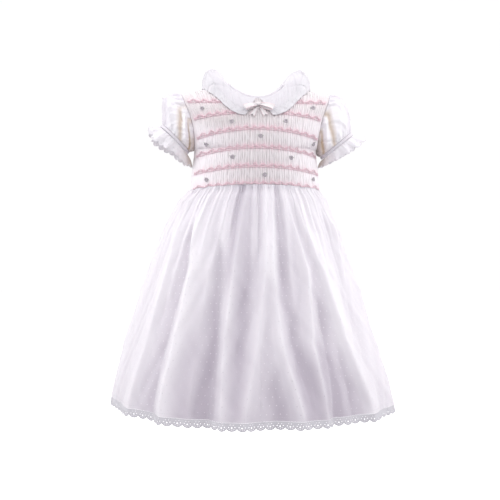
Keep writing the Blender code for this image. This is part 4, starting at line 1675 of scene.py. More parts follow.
@dataclass(frozen=True)
class ClothFinish(Finish):
    """A woven cotton, with a second colour for its worked places and for painted light, and a painted shade
    for its folds and other shaded places.
    """

    # The second colour is a worked colour on some pieces and painted light on others; the next is the colour
    # of the painted shade.
    accent_and_painted_light_colour: Colour = WHITE
    shading_colour: Colour = PAINTED_FOLD_SHADING
    mottle_scale: float = 28.0
    mottle_contrast: float = 1.6
    weave_spacing: float = 0.0005
    weave_depth: float = 0.00012
    weave_strength: float = 0.6
    roughness: float = 0.85
    sheen: float = 0.25
    gloss: float = 0.25
    through: float = 0.25
    through_reach: float = 0.002

    def sockets(self, make: NodeMaker, effects: EffectGroups) -> dict:
        """Uneven colour that painted shade, painted light and worked places change, and the weave as bump."""
        mottle = make.add(
            "ShaderNodeGroup", {"Scale": self.mottle_scale, "Contrast": self.mottle_contrast},
            node_tree=effects.mottle,
        )
        colour = self.between(make, mottle.outputs["Mask"])
        # Mix in the painted shade, then the second colour with its painted light.
        for name, shade in (("valley", self.shading_colour), ("tint", self.accent_and_painted_light_colour)):
            mark = make.add("ShaderNodeAttribute", attribute_name=name).outputs["Fac"]
            colour = make.mix(mark, colour, (*shade, 1.0))
        weave = make.add("ShaderNodeGroup", {"Spacing": self.weave_spacing}, node_tree=effects.weave)
        height = {"Height": weave.outputs[0], "Distance": self.weave_depth, "Strength": self.weave_strength}
        return {
            "Base Color": colour,
            "Normal": make.add("ShaderNodeBump", height).outputs[0],
            "Roughness": self.roughness,
            "Sheen Weight": self.sheen,
            "Specular IOR Level": self.gloss,
            "Subsurface Weight": self.through,
            "Subsurface Radius": (1.0, 0.9, 0.9),
            "Subsurface Scale": self.through_reach,
        }


@dataclass(frozen=True)
class LaceFinish(ClothFinish):
    """Cotton lace, with a coarser weave than the cloth."""

    mottle_scale: float = 60.0
    weave_spacing: float = 0.0011
    weave_depth: float = 0.0004


@dataclass(frozen=True)
class ThreadFinish(Finish):
    """A stranded embroidery thread."""

    mottle_scale: float = 260.0
    pitch: float = 0.0011
    strand_depth: float = 0.0002
    strand_strength: float = 0.8
    roughness: float = 0.55
    sheen: float = 0.3

    def sockets(self, make: NodeMaker, effects: EffectGroups) -> dict:
        """Colour and bump of the twisted strands."""
        twist = make.add("ShaderNodeGroup", {"Pitch": self.pitch}, node_tree=effects.twist).outputs["Height"]
        mottle = make.add("ShaderNodeGroup", {"Scale": self.mottle_scale}, node_tree=effects.mottle)
        share = make.math("MULTIPLY", twist, mottle.outputs["Mask"])
        height = {"Height": twist, "Distance": self.strand_depth, "Strength": self.strand_strength}
        return {
            "Base Color": self.between(make, share),
            "Normal": make.add("ShaderNodeBump", height).outputs[0],
            "Roughness": self.roughness,
            "Sheen Weight": self.sheen,
        }


@dataclass(frozen=True)
class ShellFinish(Finish):
    """A small pearly button."""

    mottle_scale: float = 190.0
    mottle_contrast: float = 2.4
    roughness: float = 0.22
    uneven_roughness: float = 0.15
    coat: float = 0.4
    coat_roughness: float = 0.12

    def sockets(self, make: NodeMaker, effects: EffectGroups) -> dict:
        """Cloudy colour and shine under a thin clear coat."""
        mottle = make.add(
            "ShaderNodeGroup", {"Scale": self.mottle_scale, "Contrast": self.mottle_contrast},
            node_tree=effects.mottle,
        ).outputs["Mask"]
        rough = make.add(
            "ShaderNodeMath", {0: mottle, 1: self.uneven_roughness, 2: self.roughness},
            operation="MULTIPLY_ADD",
        )
        return {
            "Base Color": self.between(make, mottle),
            "Roughness": rough.outputs[0],
            "Coat Weight": self.coat,
            "Coat Roughness": self.coat_roughness,
        }


@dataclass(frozen=True)
class FloorFinish(Finish):
    """A pale floor that the camera sees as white."""

    mottle_scale: float = 3.0
    roughness: float = 0.9

    def sockets(self, make: NodeMaker, effects: EffectGroups) -> dict:
        """Faintly uneven colour, with a glow for the camera only."""
        noise = make.add("ShaderNodeTexNoise", {"Scale": self.mottle_scale})
        return {
            "Base Color": self.between(make, noise.outputs[0]),
            "Emission Strength": make.add("ShaderNodeLightPath").outputs["Is Camera Ray"],
            "Emission Color": (1.0, 1.0, 1.0, 1.0),
            "Roughness": self.roughness,
            "Specular IOR Level": 0.0,
        }


class Finishes:
    """Every finish of the dress."""

    def __init__(self) -> None:
        """Build the node groups and the materials."""
        effects = EffectGroups()
        # The smocked cotton's pink is the threads' own colour; its grey is the painted shade.
        self.smocked = ClothFinish(
            "smocked cotton", (0.95, 0.888, 0.935), (0.91, 0.852, 0.895), (0.89, 0.62, 0.69),
            (0.615, 0.568, 0.582), weave_spacing=0.0004, sheen=0.5,
        ).build(effects)
        # The voile's tan is a painted warm shade that no voile piece takes.
        self.voile = ClothFinish(
            "dotted voile", WHITE, (0.725, 0.685, 0.74), (0.60, 0.47, 0.32)
        ).build(effects)
        # The skirt voile's pale colour is the painted highlight, and its grey is the painted shade.
        self.skirt = ClothFinish(
            "skirt voile", (0.787, 0.751, 0.80), (0.76, 0.72, 0.778), (0.90, 0.87, 0.91),
            (0.47, 0.43, 0.493), sheen=0.5,
        ).build(effects)
        # The sleeve voile is a lighter, lit copy of the voile: painted light; its tan is the painted warm
        # shade under the arm.
        self.sleeve = ClothFinish(
            "sleeve voile", (0.93, 0.905, 0.945), (0.90, 0.87, 0.915), (0.57, 0.44, 0.32)
        ).build(effects)
        # The collar voile and collar lace are darker, shaded copies of the voile and the lace: painted shade.
        self.collar = ClothFinish("collar voile", (0.66, 0.634, 0.679), (0.624, 0.597, 0.643)).build(effects)
        self.collar_lace = LaceFinish(
            "collar lace", (0.688, 0.665, 0.706), (0.634, 0.615, 0.656)
        ).build(effects)
        # The cotton lace's tan is the painted shade of the cuff frill nearest the bodice.
        self.lace = LaceFinish(
            "cotton lace", (0.82, 0.79, 0.84), (0.76, 0.735, 0.78), (0.52, 0.41, 0.31)
        ).build(effects)
        # The hem lace is a darker, shaded copy of the lace: painted shade.
        self.hem_lace = LaceFinish("hem lace", (0.60, 0.585, 0.63), (0.53, 0.515, 0.56)).build(effects)
        self.ribbon = ClothFinish(
            "satin ribbon", (0.724, 0.692, 0.71), (0.688, 0.652, 0.67), (0.72, 0.555, 0.59),
            weave_spacing=0.00035, weave_depth=0.00006, roughness=0.42, sheen=0.5, through=0.1,
        ).build(effects)
        self.white_thread, self.pink_thread, self.bud_thread, self.leaf_thread = (
            ThreadFinish(f"{name} thread", light, dark).build(effects)
            for name, light, dark in (
                ("white", (0.76, 0.75, 0.77), (0.615, 0.597, 0.634)),
                ("pink", (0.79, 0.625, 0.68), (0.71, 0.485, 0.55)),
                ("lavender", (0.54, 0.49, 0.535), (0.36, 0.32, 0.365)),
                ("leaf", (0.58, 0.59, 0.545), (0.455, 0.47, 0.435)),
            )
        )
        self.button = ShellFinish("shell button", (0.78, 0.77, 0.75), (0.67, 0.65, 0.66)).build(effects)
        self.floor = FloorFinish("pale floor", (0.54, 0.54, 0.55), (0.50, 0.50, 0.51)).build(effects)


# ---------------------------------------------------------------------------------------------
# Lace and other cut work


@dataclass(frozen=True)
class LacePattern:
    """One scallop of lace, in shares of its period across and its height along."""

    notch: float = 0.32
    openness: float = 1.0
    edge_points: int = 12
    hole_sides: int = 9
    holes: Table = Table(
        ("across", "along", "half_width", "half_height"),
        (
            (0.50, 0.58, 0.120, 0.130),
            (0.20, 0.50, 0.075, 0.085),
            (0.80, 0.50, 0.075, 0.085),
            (0.35, 0.25, 0.060, 0.055),
            (0.65, 0.25, 0.060, 0.055),
            (0.50, 0.845, 0.045, 0.050),
            (0.30, 0.76, 0.045, 0.055),
            (0.70, 0.76, 0.045, 0.055),
        ),
    )

    def edge(self, across: Array) -> Array:
        """Height of the scalloped edge."""
        return 1.0 - self.notch * (1.0 - np.abs(np.sin(math.pi * across)) ** 0.7)

    def cell(self) -> tuple[Array, Array]:
        """One scallop with its holes left out.

        Returns:
            Points and triangles.
        """
        around = np.linspace(0.0, 1.0, self.edge_points + 1)
        upright = np.linspace(0.0, self.edge(np.array(0.0)), 5)[1:-1]
        outline = [(u, float(self.edge(u))) for u in around]
        outline += [(1.0, v) for v in upright[::-1]]
        outline += [(u, 0.0) for u in around[::-1]]
        outline += [(0.0, v) for v in upright]
        loops, holes = [outline], self.holes.records()
        for hole in holes:
            centre = hole["across"], hole["along"]
            half = self.openness * hole["half_width"], self.openness * hole["half_height"]
            loops.append(oval(centre, half, self.hole_sides))
        flat, triangles = cut_plate(loops, 1e-6)
        middle = flat[triangles].mean(axis=1)
        keep = middle[:, 1] < self.edge(middle[:, 0]) - 1e-4
        for hole in holes:
            u = (middle[:, 0] - hole["across"]) / hole["half_width"]
            v = (middle[:, 1] - hole["along"]) / hole["half_height"]
            keep &= u**2 + v**2 > self.openness**2
        return flat, triangles[keep]

    def strip(self, count: int) -> tuple[Array, Array]:
        """Points and triangles of a run of scallops that share their side points.

        Args:
            count: Number of scallops.

        Returns:
            Points, with across counted in scallops, and triangles.
        """
        flat, triangles = self.cell()
        points = np.concatenate([flat + np.array([i, 0.0]) for i in range(count)])
        faces = np.concatenate([triangles + i * len(flat) for i in range(count)])
        keep, faces = shared_points(points, faces)
        return points[keep], faces


@dataclass(frozen=True)
class LaceEdging:
    """Scalloped lace laid on a form, with a corded edge."""

    form: Form
    first: float
    last: float
    top: float
    bottom: float
    period: float
    wall: float = 0.00045
    cord: float = 0.00042
    closed: bool = False
    fine_count: int = 1600
    cord_steps: int = 10
    pattern: LacePattern = LacePattern()

    def run(self) -> tuple[Array, Array]:
        """The real edge of the lace.

        Returns:
            Fine places across the form, and the distance along the edge at each.
        """
        fine = np.linspace(self.first, self.last, self.fine_count)
        return fine, path_run(self.form.place(fine, np.full(fine.shape, blend(self.top, self.bottom, 0.7))))

    def across_at(self, count: int, places: Array) -> Array:
        """Places across the form of counts of scallops, evenly spaced on the real edge.

        Args:
            count: Number of scallops from end to end.
            places: Counts of scallops.

        Returns:
            Places across the form.
        """
        fine, run = self.run()
        return np.interp(np.asarray(places) / count * run[-1], run, fine)

    def build(self, name: str, finishes: tuple[Material, ...]) -> Piece:
        """Make the lace.

        Args:
            name: The piece's name.
            finishes: The lace's materials.

        Returns:
            The piece.
        """
        pattern = self.pattern
        count = max(3, round(self.run()[1][-1] / self.period))
        flat, faces = pattern.strip(count)
        across = self.across_at(count, flat[:, 0])
        if self.closed:
            keep, faces = shared_points(np.stack([flat[:, 0] % count, flat[:, 1]], axis=-1), faces)
            flat, across = flat[keep], across[keep]
        along = blend(self.top, self.bottom, flat[:, 1])
        ends = self.form.place(np.full(2, self.first), np.array([self.top, self.bottom]))
        places = flat * np.array([self.period, path_length(ends)])
        outer, inner = self.form.place(across, along), self.form.place(across, along, -self.wall)
        piece = PieceMesh(name)
        # The lace's second colour is the form's painted shade.
        piece.add_skins(outer, inner, faces, places, self.form.painted_lace_shade(across, along))
        at = np.linspace(0.0, count, self.cord_steps * count + 1)
        tip = self.across_at(count, at)
        down = blend(self.top, self.bottom, pattern.edge(at))
        path = self.form.place(tip, down, -self.wall / 2)
        piece.add_tubes(path, self.form.normal(tip, down), self.cord, sides=5, flatten=1.0)
        return piece.make(finishes)


@dataclass(frozen=True)
class Stitches:
    """A line of small stitches on a form."""

    form: Form
    length: float = 0.0022
    gap: float = 0.0012
    radius: float = 0.00022

    def lay(self, piece: PieceMesh, across: Array, along: Array, finish: int = 0) -> None:
        """Lay stitches along a path.

        Args:
            piece: The mesh to add to.
            across: Fine places across the form.
            along: Places along it.
            finish: Which of the piece's finishes they take.
        """
        path = self.form.place(across, along)
        run = path_run(path)
        starts = np.arange(0.0, run[-1] - self.length, self.length + self.gap)
        at = starts[:, None] + np.linspace(0.0, self.length, 4)
        u, v = np.interp(at, run, across), np.interp(at, run, along)
        lift = np.array([-0.3, 0.6, 0.6, -0.3]) * self.radius
        radius = self.radius * np.array([0.6, 1.0, 1.0, 0.6])
        piece.add_tubes(self.form.place(u, v, lift), self.form.normal(u, v), radius, sides=4, finish=finish)


@dataclass(frozen=True)
class Dots:
    """Small raised dots woven in staggered rows."""

    form: Form
    radius: float = 0.0010
    height: float = 0.00035
    sides: int = 7

    def lay(
        self, piece: PieceMesh, across: Array, along: Array,
        tint: Array | float = 0.0, valley: Array | float = 0.0,
    ) -> None:
        """Lay a dot at each place.

        Args:
            piece: The mesh to add to.
            across: Places across the form.
            along: Places along it.
            tint: How far the dots take the finish's second colour.
            valley: How far each dot takes the painted shade.
        """
        centre, normal = self.form.place(across, along), self.form.normal(across, along)
        step = self.form.steps[0]
        side = unit(self.form.place(across + step, along) - self.form.place(across - step, along))
        normal = unit(normal - np.sum(normal * side, axis=-1, keepdims=True) * side)
        up = np.cross(normal, side)
        turn = even_turns(self.sides)[:, None, None]
        round_dot = self.radius * (np.cos(turn) * side + np.sin(turn) * up)
        foot = centre + round_dot - 0.25 * self.height * normal
        brow = centre + 0.85 * round_dot + 0.55 * self.height * normal
        points = np.concatenate([foot, brow, (centre + self.height * normal)[None]]).transpose(1, 0, 2)
        i = np.arange(self.sides)
        k = (i + 1) % self.sides
        low, high, tip = self.sides + i, self.sides + k, 0 * i + 2 * self.sides
        threes = ((i, k, high), (i, high, low), (low, high, tip))
        faces = np.concatenate([np.stack(three, -1) for three in threes])
        size = 2 * self.sides + 1
        faces = (faces[None] + size * np.arange(len(centre))[:, None, None]).reshape(-1, 3)
        tint, valley = (np.repeat(np.broadcast_to(mark, len(centre)), size) for mark in (tint, valley))
        piece.add(points.reshape(-1, 3), [(faces, np.zeros((len(faces), 3, 2)))], tint=tint, valley=valley)


# ---------------------------------------------------------------------------------------------
# Sub-assemblies


@dataclass
class SubAssembly:
    """A group of pieces that are made together."""

    finishes: Finishes

    def build(self) -> None:
        """Make the pieces and tell the frame about them."""
        raise NotImplementedError


@dataclass
class SmockedFront(SubAssembly):
    """Smocked front bodice with its rows of pink stitching and rosebuds."""

    columns: int = 480
    levels: int = 76
    wall: float = 0.0005
    cut: tuple[float, float] = (0.275, 0.165)
    wave_pleats: float = 4.0
    wave_height: float = 0.0052
    wave_shares: tuple[float, ...] = (1.0, 0.45)
    stitch_radius: float = 0.00068
    blush: float = 0.84
    blush_reach: float = 0.0056
    blush_lift: float = 0.0030
    # Strengths of the painted grey shade: under the collar, between pleats, at the middle and at the upper
    # left.
    top_shade: float = 0.85
    top_from: float = -0.085
    valley_shade: float = 0.9
    middle_shade: float = 0.58
    left_shade: float = 0.55
    buds: Table = Table(
        ("across", "height", "turn"),
        (
            (-0.80, -0.0450, 20.0),
            (0.79, -0.0425, -15.0),
            (-0.41, -0.0662, 10.0),
            (0.41, -0.0650, -25.0),
            (0.02, -0.0881, 5.0),
            (-0.82, -0.0983, 30.0),
            (0.89, -0.0962, -30.0),
            (-0.41, -0.1190, 0.0),
            (0.50, -0.1194, 15.0),
            (0.08, -0.1455, -10.0),
            (-0.77, -0.1519, 25.0),
            (0.85, -0.1501, -20.0),
        ),
    )
    bud_radius: float = 0.0026
    bud_clearance: float = 0.0003
    petal_radius: float = 0.00075
    petal_fullness: float = 1.25
    coil_reach: float = 0.0008
    coil_radius: float = 0.00045
    leaf_length: float = 0.0024
    leaf_radius: float = 0.0009
    form: SmockedForm = SmockedForm()

    def blush_at(self, across: Array, height: Array, crest: Array) -> Array:
        """How far the cloth takes the threads' pink, patchily above each row.

        Args:
            across: Places across the panel.
            height: Their heights.
            crest: 1 on the crest of a pleat and 0 in the hollow beside it.

        Returns:
            0 for white cloth, 1 for full pink.
        """
        blush = np.zeros(across.shape)
        for number, row in enumerate(self.form.rows.records()):
            away = height - self.form.row_height(row, across) - self.blush_lift
            patchy = 0.62 + 0.5 * ripple(across, 140 + number, 0.11, 5)
            worn = np.abs(across) > row["inner_share"] - 0.05
            blush += worn * patchy * bell(away, self.blush_reach)
        return np.clip(self.blush * (1.0 - 0.5 * across**2) * blush * (0.35 + 0.65 * crest), 0.0, 0.85)

    def shade_at(self, across: Array, height: Array, crest: Array) -> Array:
        """How far the cloth takes its painted grey shade: between pleats, at the middle, under the collar and
        at the upper left.

        Args:
            across: Places across the panel.
            height: Their heights.
            crest: 1 on the crest of a pleat and 0 in the hollow beside it.

        Returns:
            0 for plain cloth, 1 for the full shade.
        """
        shade = self.valley_shade * (1.0 - crest) ** 1.5 * (1.0 - 0.9 * across**2)
        shade = shade + self.middle_shade * bell(across, 0.62)
        above = smooth_step((height - self.top_from) / 0.045)
        shade += self.top_shade * above * blend(0.3, 1.0, across**2)
        shade += self.left_shade * bell(across + 0.58, 0.36) * bell(height + 0.062, 0.017)
        return np.clip(shade, 0.0, 1.0)

    def build_cloth(self) -> Piece:
        """Make the pleated cloth.

        Returns:
            The piece.
        """
        across, along = grid(np.linspace(-1.0, 1.0, self.columns + 1), np.linspace(0.0, 1.0, self.levels + 1))
        height = self.form.height(across, along)
        crest = self.form.pleat_crest(across, along)
        piece = PieceMesh("smocked_front")
        piece.add_cloth(
            self.form, (across, along), self.wall, self.cut,
            tint=self.blush_at(across, height, crest), valley=self.shade_at(across, height, crest),
        )
        return piece.make((self.finishes.smocked,))

    def build_row(self, number: int, row: dict) -> Piece:
        """Make one row: cable stitches over each pleat, and stitches that step up and down.

        Args:
            number: The row's number from the top.
            row: Its record.

        Returns:
            The piece.
        """
        piece = PieceMesh(f"smocking_row_{number}")
        dice = np.random.default_rng(200 + number)
        fine = np.linspace(-0.985, 0.985, 1200)
        phase = self.form.pleat_phase(fine, self.form.along_at(fine, self.form.row_height(row, fine)))
        pleat = np.arange(math.ceil(phase[0]), math.floor(phase[-1]))
        ends = np.interp(pleat[:, None] + np.array([-0.06, 1.06]), phase, fine)
        pleat, ends = (values[np.abs(ends.mean(axis=1)) > row["inner_share"]] for values in (pleat, ends))
        drop, rise = dice.uniform(-0.0002, 0.0002, (2, len(pleat), 1))
        zigzag = np.where(pleat % 2, 0.0003, -0.0003)[:, None] * np.array([1.0, -1.0])
        self.lay(piece, row, ends, zigzag + drop)
        step = np.abs(((pleat[:, None] + np.array([0.0, 1.0])) / self.wave_pleats) % 1.0 - 0.5) * 2
        for share in self.wave_shares:
            stretch = share * dice.uniform(0.75, 1.1, (len(pleat), 1))
            self.lay(piece, row, ends, 0.0013 + self.wave_height * step * stretch + rise)
        return piece.make((self.finishes.pink_thread,))

    def lay(self, piece: PieceMesh, row: dict, ends: Array, lifts: Array) -> None:
        """Lay stitches over pleats.

        Args:
            piece: The mesh to add to.
            row: Record of the row.
            ends: Places across of each stitch's two ends.
            lifts: Heights of the two ends above the row.
        """
        share = np.linspace(0.0, 1.0, 7)
        across = blend(ends[:, :1], ends[:, 1:], share)
        height = self.form.row_height(row, across) + blend(lifts[:, :1], lifts[:, 1:], share)
        along = self.form.along_at(across, height)
        plump = np.sqrt(np.clip(np.sin(math.pi * (0.06 + 0.88 * share)), 0.0, 1.0))
        over = np.array([0.1, 0.5, 0.75, 0.8, 0.75, 0.5, 0.1]) * self.form.pleat_height
        lift = over - self.form.relief(across, along) + self.stitch_radius
        lift = np.maximum(lift, self.stitch_radius * (0.9 * plump - 0.5))
        path = self.form.place(across, along, lift)
        piece.add_tubes(path, self.form.normal(across, along), self.stitch_radius * plump)

    @staticmethod
    def swirl(seat: tuple[Array, Array, Array], reach: Array, turn: Array) -> Array:
        """Points at distances and turns round a bud.

        Args:
            seat: The bud's middle, and the directions beside it and above it.
            reach: Distances from its middle.
            turn: Turns round it.

        Returns:
            An array with a last axis of x, y and z.
        """
        centre, side, up = seat
        return centre + reach[:, None] * (np.cos(turn)[:, None] * side + np.sin(turn)[:, None] * up)

    def lay_bud(self, piece: PieceMesh, bud: dict) -> None:
        """Lay a rosebud: three curved petals, a coiled knot and two leaves.

        Args:
            piece: The mesh to add to.
            bud: The bud's record.
        """
        across = np.array([bud["across"]])
        along = self.form.along_at(across, np.array([bud["height"]]))
        lift = self.form.pleat_height - self.form.relief(across, along) + self.bud_clearance
        centre = self.form.place(across, along, lift)[0]
        normal = self.form.normal(across, along)[0]
        side = unit(np.cross(normal, np.array([0.0, 0.0, 1.0])))
        up = np.cross(side, normal)
        seat, start = (centre, side, up), math.radians(bud["turn"])
        from_middle = np.linspace(-1, 1, 11)
        for petal in range(3):
            turn = start + petal * 2 * math.pi / 3 + np.linspace(-1.25, 1.25, 11)
            reach = self.bud_radius * (1.0 - 0.18 * np.abs(from_middle))
            thick = self.petal_radius * np.sqrt(np.clip(1.12 - from_middle**2, 0.12, 1))
            path = self.swirl(seat, reach, turn) + 0.0005 * normal
            piece.add_tubes(path, normal, thick * self.petal_fullness, sides=7)
        reach = self.coil_reach * np.linspace(1.0, 0.2, 18)
        coil = self.swirl(seat, reach, np.linspace(0.0, 3.6 * math.pi, 18))
        coil = coil + np.linspace(0.0006, 0.0014, 18)[:, None] * normal
        piece.add_tubes(coil, normal, self.coil_radius)
        at = np.linspace(0.0, 1.0, 7)
        thick = self.leaf_radius * np.sqrt(np.clip(np.sin(math.pi * (0.12 + 0.8 * at)), 0.05, 1))
        for hand in (-1, 1):
            tilt = start + hand * 0.35 + (0 if hand > 0 else math.pi)
            way = math.cos(tilt) * side + math.sin(tilt) * up
            reach = self.bud_radius * 0.95 + self.leaf_length * at
            path = centre + reach[:, None] * way + 0.0002 * normal
            piece.add_tubes(path, normal, thick, flatten=0.6, finish=1)

    def build_buds(self) -> Piece:
        """Make the rosebuds.

        Returns:
            The piece.
        """
        piece = PieceMesh("rosebuds")
        for bud in self.buds.records():
            self.lay_bud(piece, bud)
        return piece.make((self.finishes.bud_thread, self.finishes.leaf_thread))

    def build(self) -> None:
        """Make the front, its stitching and its rosebuds."""
        cloth = enter(self.build_cloth(), Slot.SMOCKED, "bodice_front")
        for number, row in enumerate(self.form.rows.records(), start=1):
            enter(self.build_row(number, row), Slot.THREAD)
        enter(self.build_buds(), Slot.THREAD)


@dataclass
class BackBodice(SubAssembly):
    """Two plain back halves, lapped and buttoned at centre back."""

    columns: int = 90
    levels: int = 70
    wall: float = 0.0005
    cut: tuple[float, float] = (0.135, 0.160)
    button_heights: tuple[float, ...] = (-0.0300, -0.0650, -0.1000, -0.1350)
    button_radius: float = 0.0046
    button_height: float = 0.0022
    well_share: float = 0.78
    hole_reach: float = 0.0013
    hole_radius: float = 0.0006
    thread_radius: float = 0.00028

    def build_half(self, side: Side) -> Piece:
        """Make the cloth of one half.

        Args:
            side: Which half.

        Returns:
            The piece.
        """
        across = np.linspace(-BODY.lap_share, 1.0, self.columns + 1) * side.value
        places = grid(across, np.linspace(0.0, 1.0, self.levels + 1))
        piece = PieceMesh(f"back_half_{side.word}")
        piece.add_cloth(BackForm(Face.BACK, side), places, self.wall, self.cut)
        return piece.make((self.finishes.voile,))

    def build_trim(self, side: Side) -> Piece:
        """Make one half's stitching and woven dots.

        Args:
            side: Which half.

        Returns:
            The piece.
        """
        form = BackForm(Face.BACK, side)
        piece = PieceMesh(f"back_trim_{side.word}")
        level = np.linspace(0.02, 0.98, 160)
        starts = (-0.045, 0.115) if side is Side.RIGHT else (0.16,)
        for start in starts:
            Stitches(form).lay(piece, np.full(level.shape, start * side.value), level)
        Dots(form).lay(piece, *self.dot_places(side))
        return piece.make((self.finishes.voile,))

    def dot_places(self, side: Side) -> tuple[Array, Array]:
        """Staggered places of the woven dots, clear of the button lap.

        Args:
            side: Which half.

        Returns:
            Places across and along the half.
        """
        across, along = np.meshgrid(np.arange(0.22, 0.97, 0.115), np.arange(0.06, 0.97, 0.045))
        across = across + 0.0575 * (np.arange(along.shape[0]) % 2)[:, None]
        keep = across < 0.96
        return (across * side.value)[keep], along[keep]

    def build_button(self, number: int, height: float) -> Piece:
        """Make a four-hole button with its crossed threads.

        Args:
            number: The button's number from the top.
            height: Its height.

        Returns:
            The piece.
        """
        seat, normal = BODY.centre_seat(height, Face.BACK)
        side = np.array([1.0, 0.0, 0.0])
        up = np.cross(normal, side)
        centre = seat + normal * (BODY.lap_height + 2 * SEAM_GAP + self.button_height / 2)
        rim = oval((0.0, 0.0), (self.button_radius, self.button_radius), 28)
        well = [(self.well_share * x, self.well_share * y) for x, y in rim]
        corners = [(a * self.hole_reach, b * self.hole_reach) for a in (-1, 1) for b in (-1, 1)]
        holes = [oval(corner, (self.hole_radius, self.hole_radius), 10) for corner in corners]
        face, triangles = cut_plate([rim, well, *holes], 1e-9)
        middle = face[triangles].mean(axis=1)
        away = [np.hypot(middle[:, 0] - x, middle[:, 1] - y) for x, y in corners]
        triangles = triangles[np.min(away, axis=0) > self.hole_radius]
        radius = np.hypot(face[:, 0], face[:, 1]) / self.button_radius
        rise = np.interp(radius, [0.0, 0.60, 0.78, 0.92, 1.0], [0.62, 0.66, 0.98, 0.86, 0.45])
        half = self.button_height / 2
        flat = centre + face[:, :1] * side + face[:, 1:] * up
        top = flat + (half * rise)[:, None] * normal
        under = flat - (half * (1.0 - 0.3 * radius**4))[:, None] * normal
        piece = PieceMesh(f"button_{number}")
        piece.add_skins(top, under, triangles, face)
        at = np.linspace(-1.15, 1.15, 7)
        bow = (0.00055 - 0.0007 * np.abs(at) ** 6)[:, None] * normal
        for hand in (-1, 1):
            path = centre + (at * self.hole_reach)[:, None] * side
            path = path + (hand * at * self.hole_reach)[:, None] * up + half * 0.7 * normal + bow
            piece.add_tubes(path, normal, self.thread_radius, finish=1)
        return piece.make((self.finishes.button, self.finishes.white_thread))

    def build(self) -> None:
        """Make the back halves and their buttons."""
        for side in Side:
            half = enter(self.build_half(side), Slot.VOILE, f"bodice_back_{side.word}")
            trim = enter(self.build_trim(side), Slot.VOILE)
        for number, height in enumerate(self.button_heights, start=1):
            enter(self.build_button(number, height), Slot.BUTTON, f"back_button_{number}")


@dataclass
class NeckBinding(SubAssembly):
    """Narrow rolled binding round the neck."""

    height: float = 0.0042
    fullness: float = 1.05
    lean: float = 0.45
    half_thickness: float = 0.0007
    hem_thickness: float = 0.0002
    inner_share: float = 0.97
    front_count: int = 120
    back_count: int = 60
    flat: tuple[float, float] = (0.28, 0.005)

    def ring(self) -> Array:
        """Cut edge of the neck.

        Returns:
            Points from the right back lap round the front to the left back lap.
        """
        neck, lap = BODY.neck_share, BODY.lap_share
        top = np.ones(self.back_count)
        right = BackForm(Face.BACK, Side.RIGHT).place(np.linspace(-lap, neck, self.back_count), top)
        left = BackForm(Face.BACK, Side.LEFT).place(np.linspace(lap, -neck, self.back_count), top)
        across = np.linspace(neck, -neck, self.front_count)
        front = PanelForm(Face.FRONT).place(across, np.ones(self.front_count))
        front[[0, -1], 1] = 0.0
        return np.concatenate([right[:-1], front, left[-2::-1]])

    def build(self) -> None:
        """Make the binding."""
        ring = self.ring()
        inward = ring * np.array([-1.0, -1.0, 0.0])
        inward[:, 0] *= np.clip(np.abs(ring[:, 0]) / BODY.lap_run_out, 0.0, 1.0)
        inward = unit(inward)
        way = unit(self.lean * inward + np.array([0.0, 0.0, 1.0]))
        across = unit(np.cross(np.gradient(ring, axis=0), way))
        across *= np.sign(np.sum(across * inward, axis=1, keepdims=True)) * -1.0
        full = self.height * self.fullness
        outer, inner = [], []
        for turn in np.linspace(0.0, math.pi, 9):
            rise = full * (1 - math.cos(turn)) / 2
            bulge = self.half_thickness * math.sin(turn) ** 0.6 * across
            outer.append(ring + (2 * SEAM_GAP + rise) * way + bulge)
            inner.append(ring + (2 * SEAM_GAP + rise * self.inner_share) * way - bulge)
        for end in (0, -1):
            inner[end] = outer[end] - self.hem_thickness * across
        piece = PieceMesh("neck_binding")
        piece.add_shell(np.stack(outer), np.stack(inner), self.flat)
        enter(piece.make((self.finishes.collar,)), Slot.VOILE, "neck_band")


@dataclass
class Collar(SubAssembly):
    """Two collar halves, each with a gathered lace edging."""

    wall: float = 0.0005
    columns: int = 150
    levels: int = 36
    cut: tuple[float, float] = (0.215, 0.036)
    lace_width: float = 0.019
    seam_overlap: float = 0.002
    stitch_inset: float = 0.02
    lace_period: float = 0.0095

    def build_cloth(self, side: Side) -> Piece:
        """Make the cloth of one half.

        Args:
            side: Which half.

        Returns:
            The piece.
        """
        form = CollarForm(side)
        along = np.linspace(0.0, form.cloth_share, self.levels + 1)
        piece = PieceMesh(f"collar_half_{side.word}")
        piece.add_cloth(
            form, grid(np.linspace(0.0, 1.0, self.columns + 1), along), self.wall,
            self.cut,
        )
        return piece.make((self.finishes.collar,))

    def build_stitches(self, side: Side) -> Piece:
        """Make the stitches beside the lace's seam.

        Args:
            side: Which half.

        Returns:
            The piece.
        """
        form = CollarForm(side)
        piece = PieceMesh(f"collar_stitches_{side.word}")
        run = np.linspace(0.01, 0.99, 400)
        Stitches(form).lay(piece, run, np.full(run.shape, form.cloth_share - self.stitch_inset))
        return piece.make((self.finishes.white_thread,))

    def build(self) -> None:
        """Make both halves."""
        for side in Side:
            form = CollarForm(side)
            cloth = enter(self.build_cloth(side), Slot.VOILE, f"collar_{side.word}")
            start = form.cloth_share + self.seam_overlap
            edging = LaceEdging(form, 0.0, 1.0, start, 1.0, self.lace_period, pattern=LacePattern(0.0, 0.3))
            lace = edging.build(f"collar_edging_{side.word}", (self.finishes.collar_lace,))
            enter(lace, Slot.LACE, f"collar_lace_{side.word}")
            stitches = enter(self.build_stitches(side), Slot.VOILE)
            self.lace_run(form)

    @staticmethod
    def lace_run(form: CollarForm) -> float:
        """Length of the lace along its free edge."""
        fine = np.linspace(0.0, 1.0, 800)
        return path_length(form.place(fine, np.full(fine.shape, 0.95)))


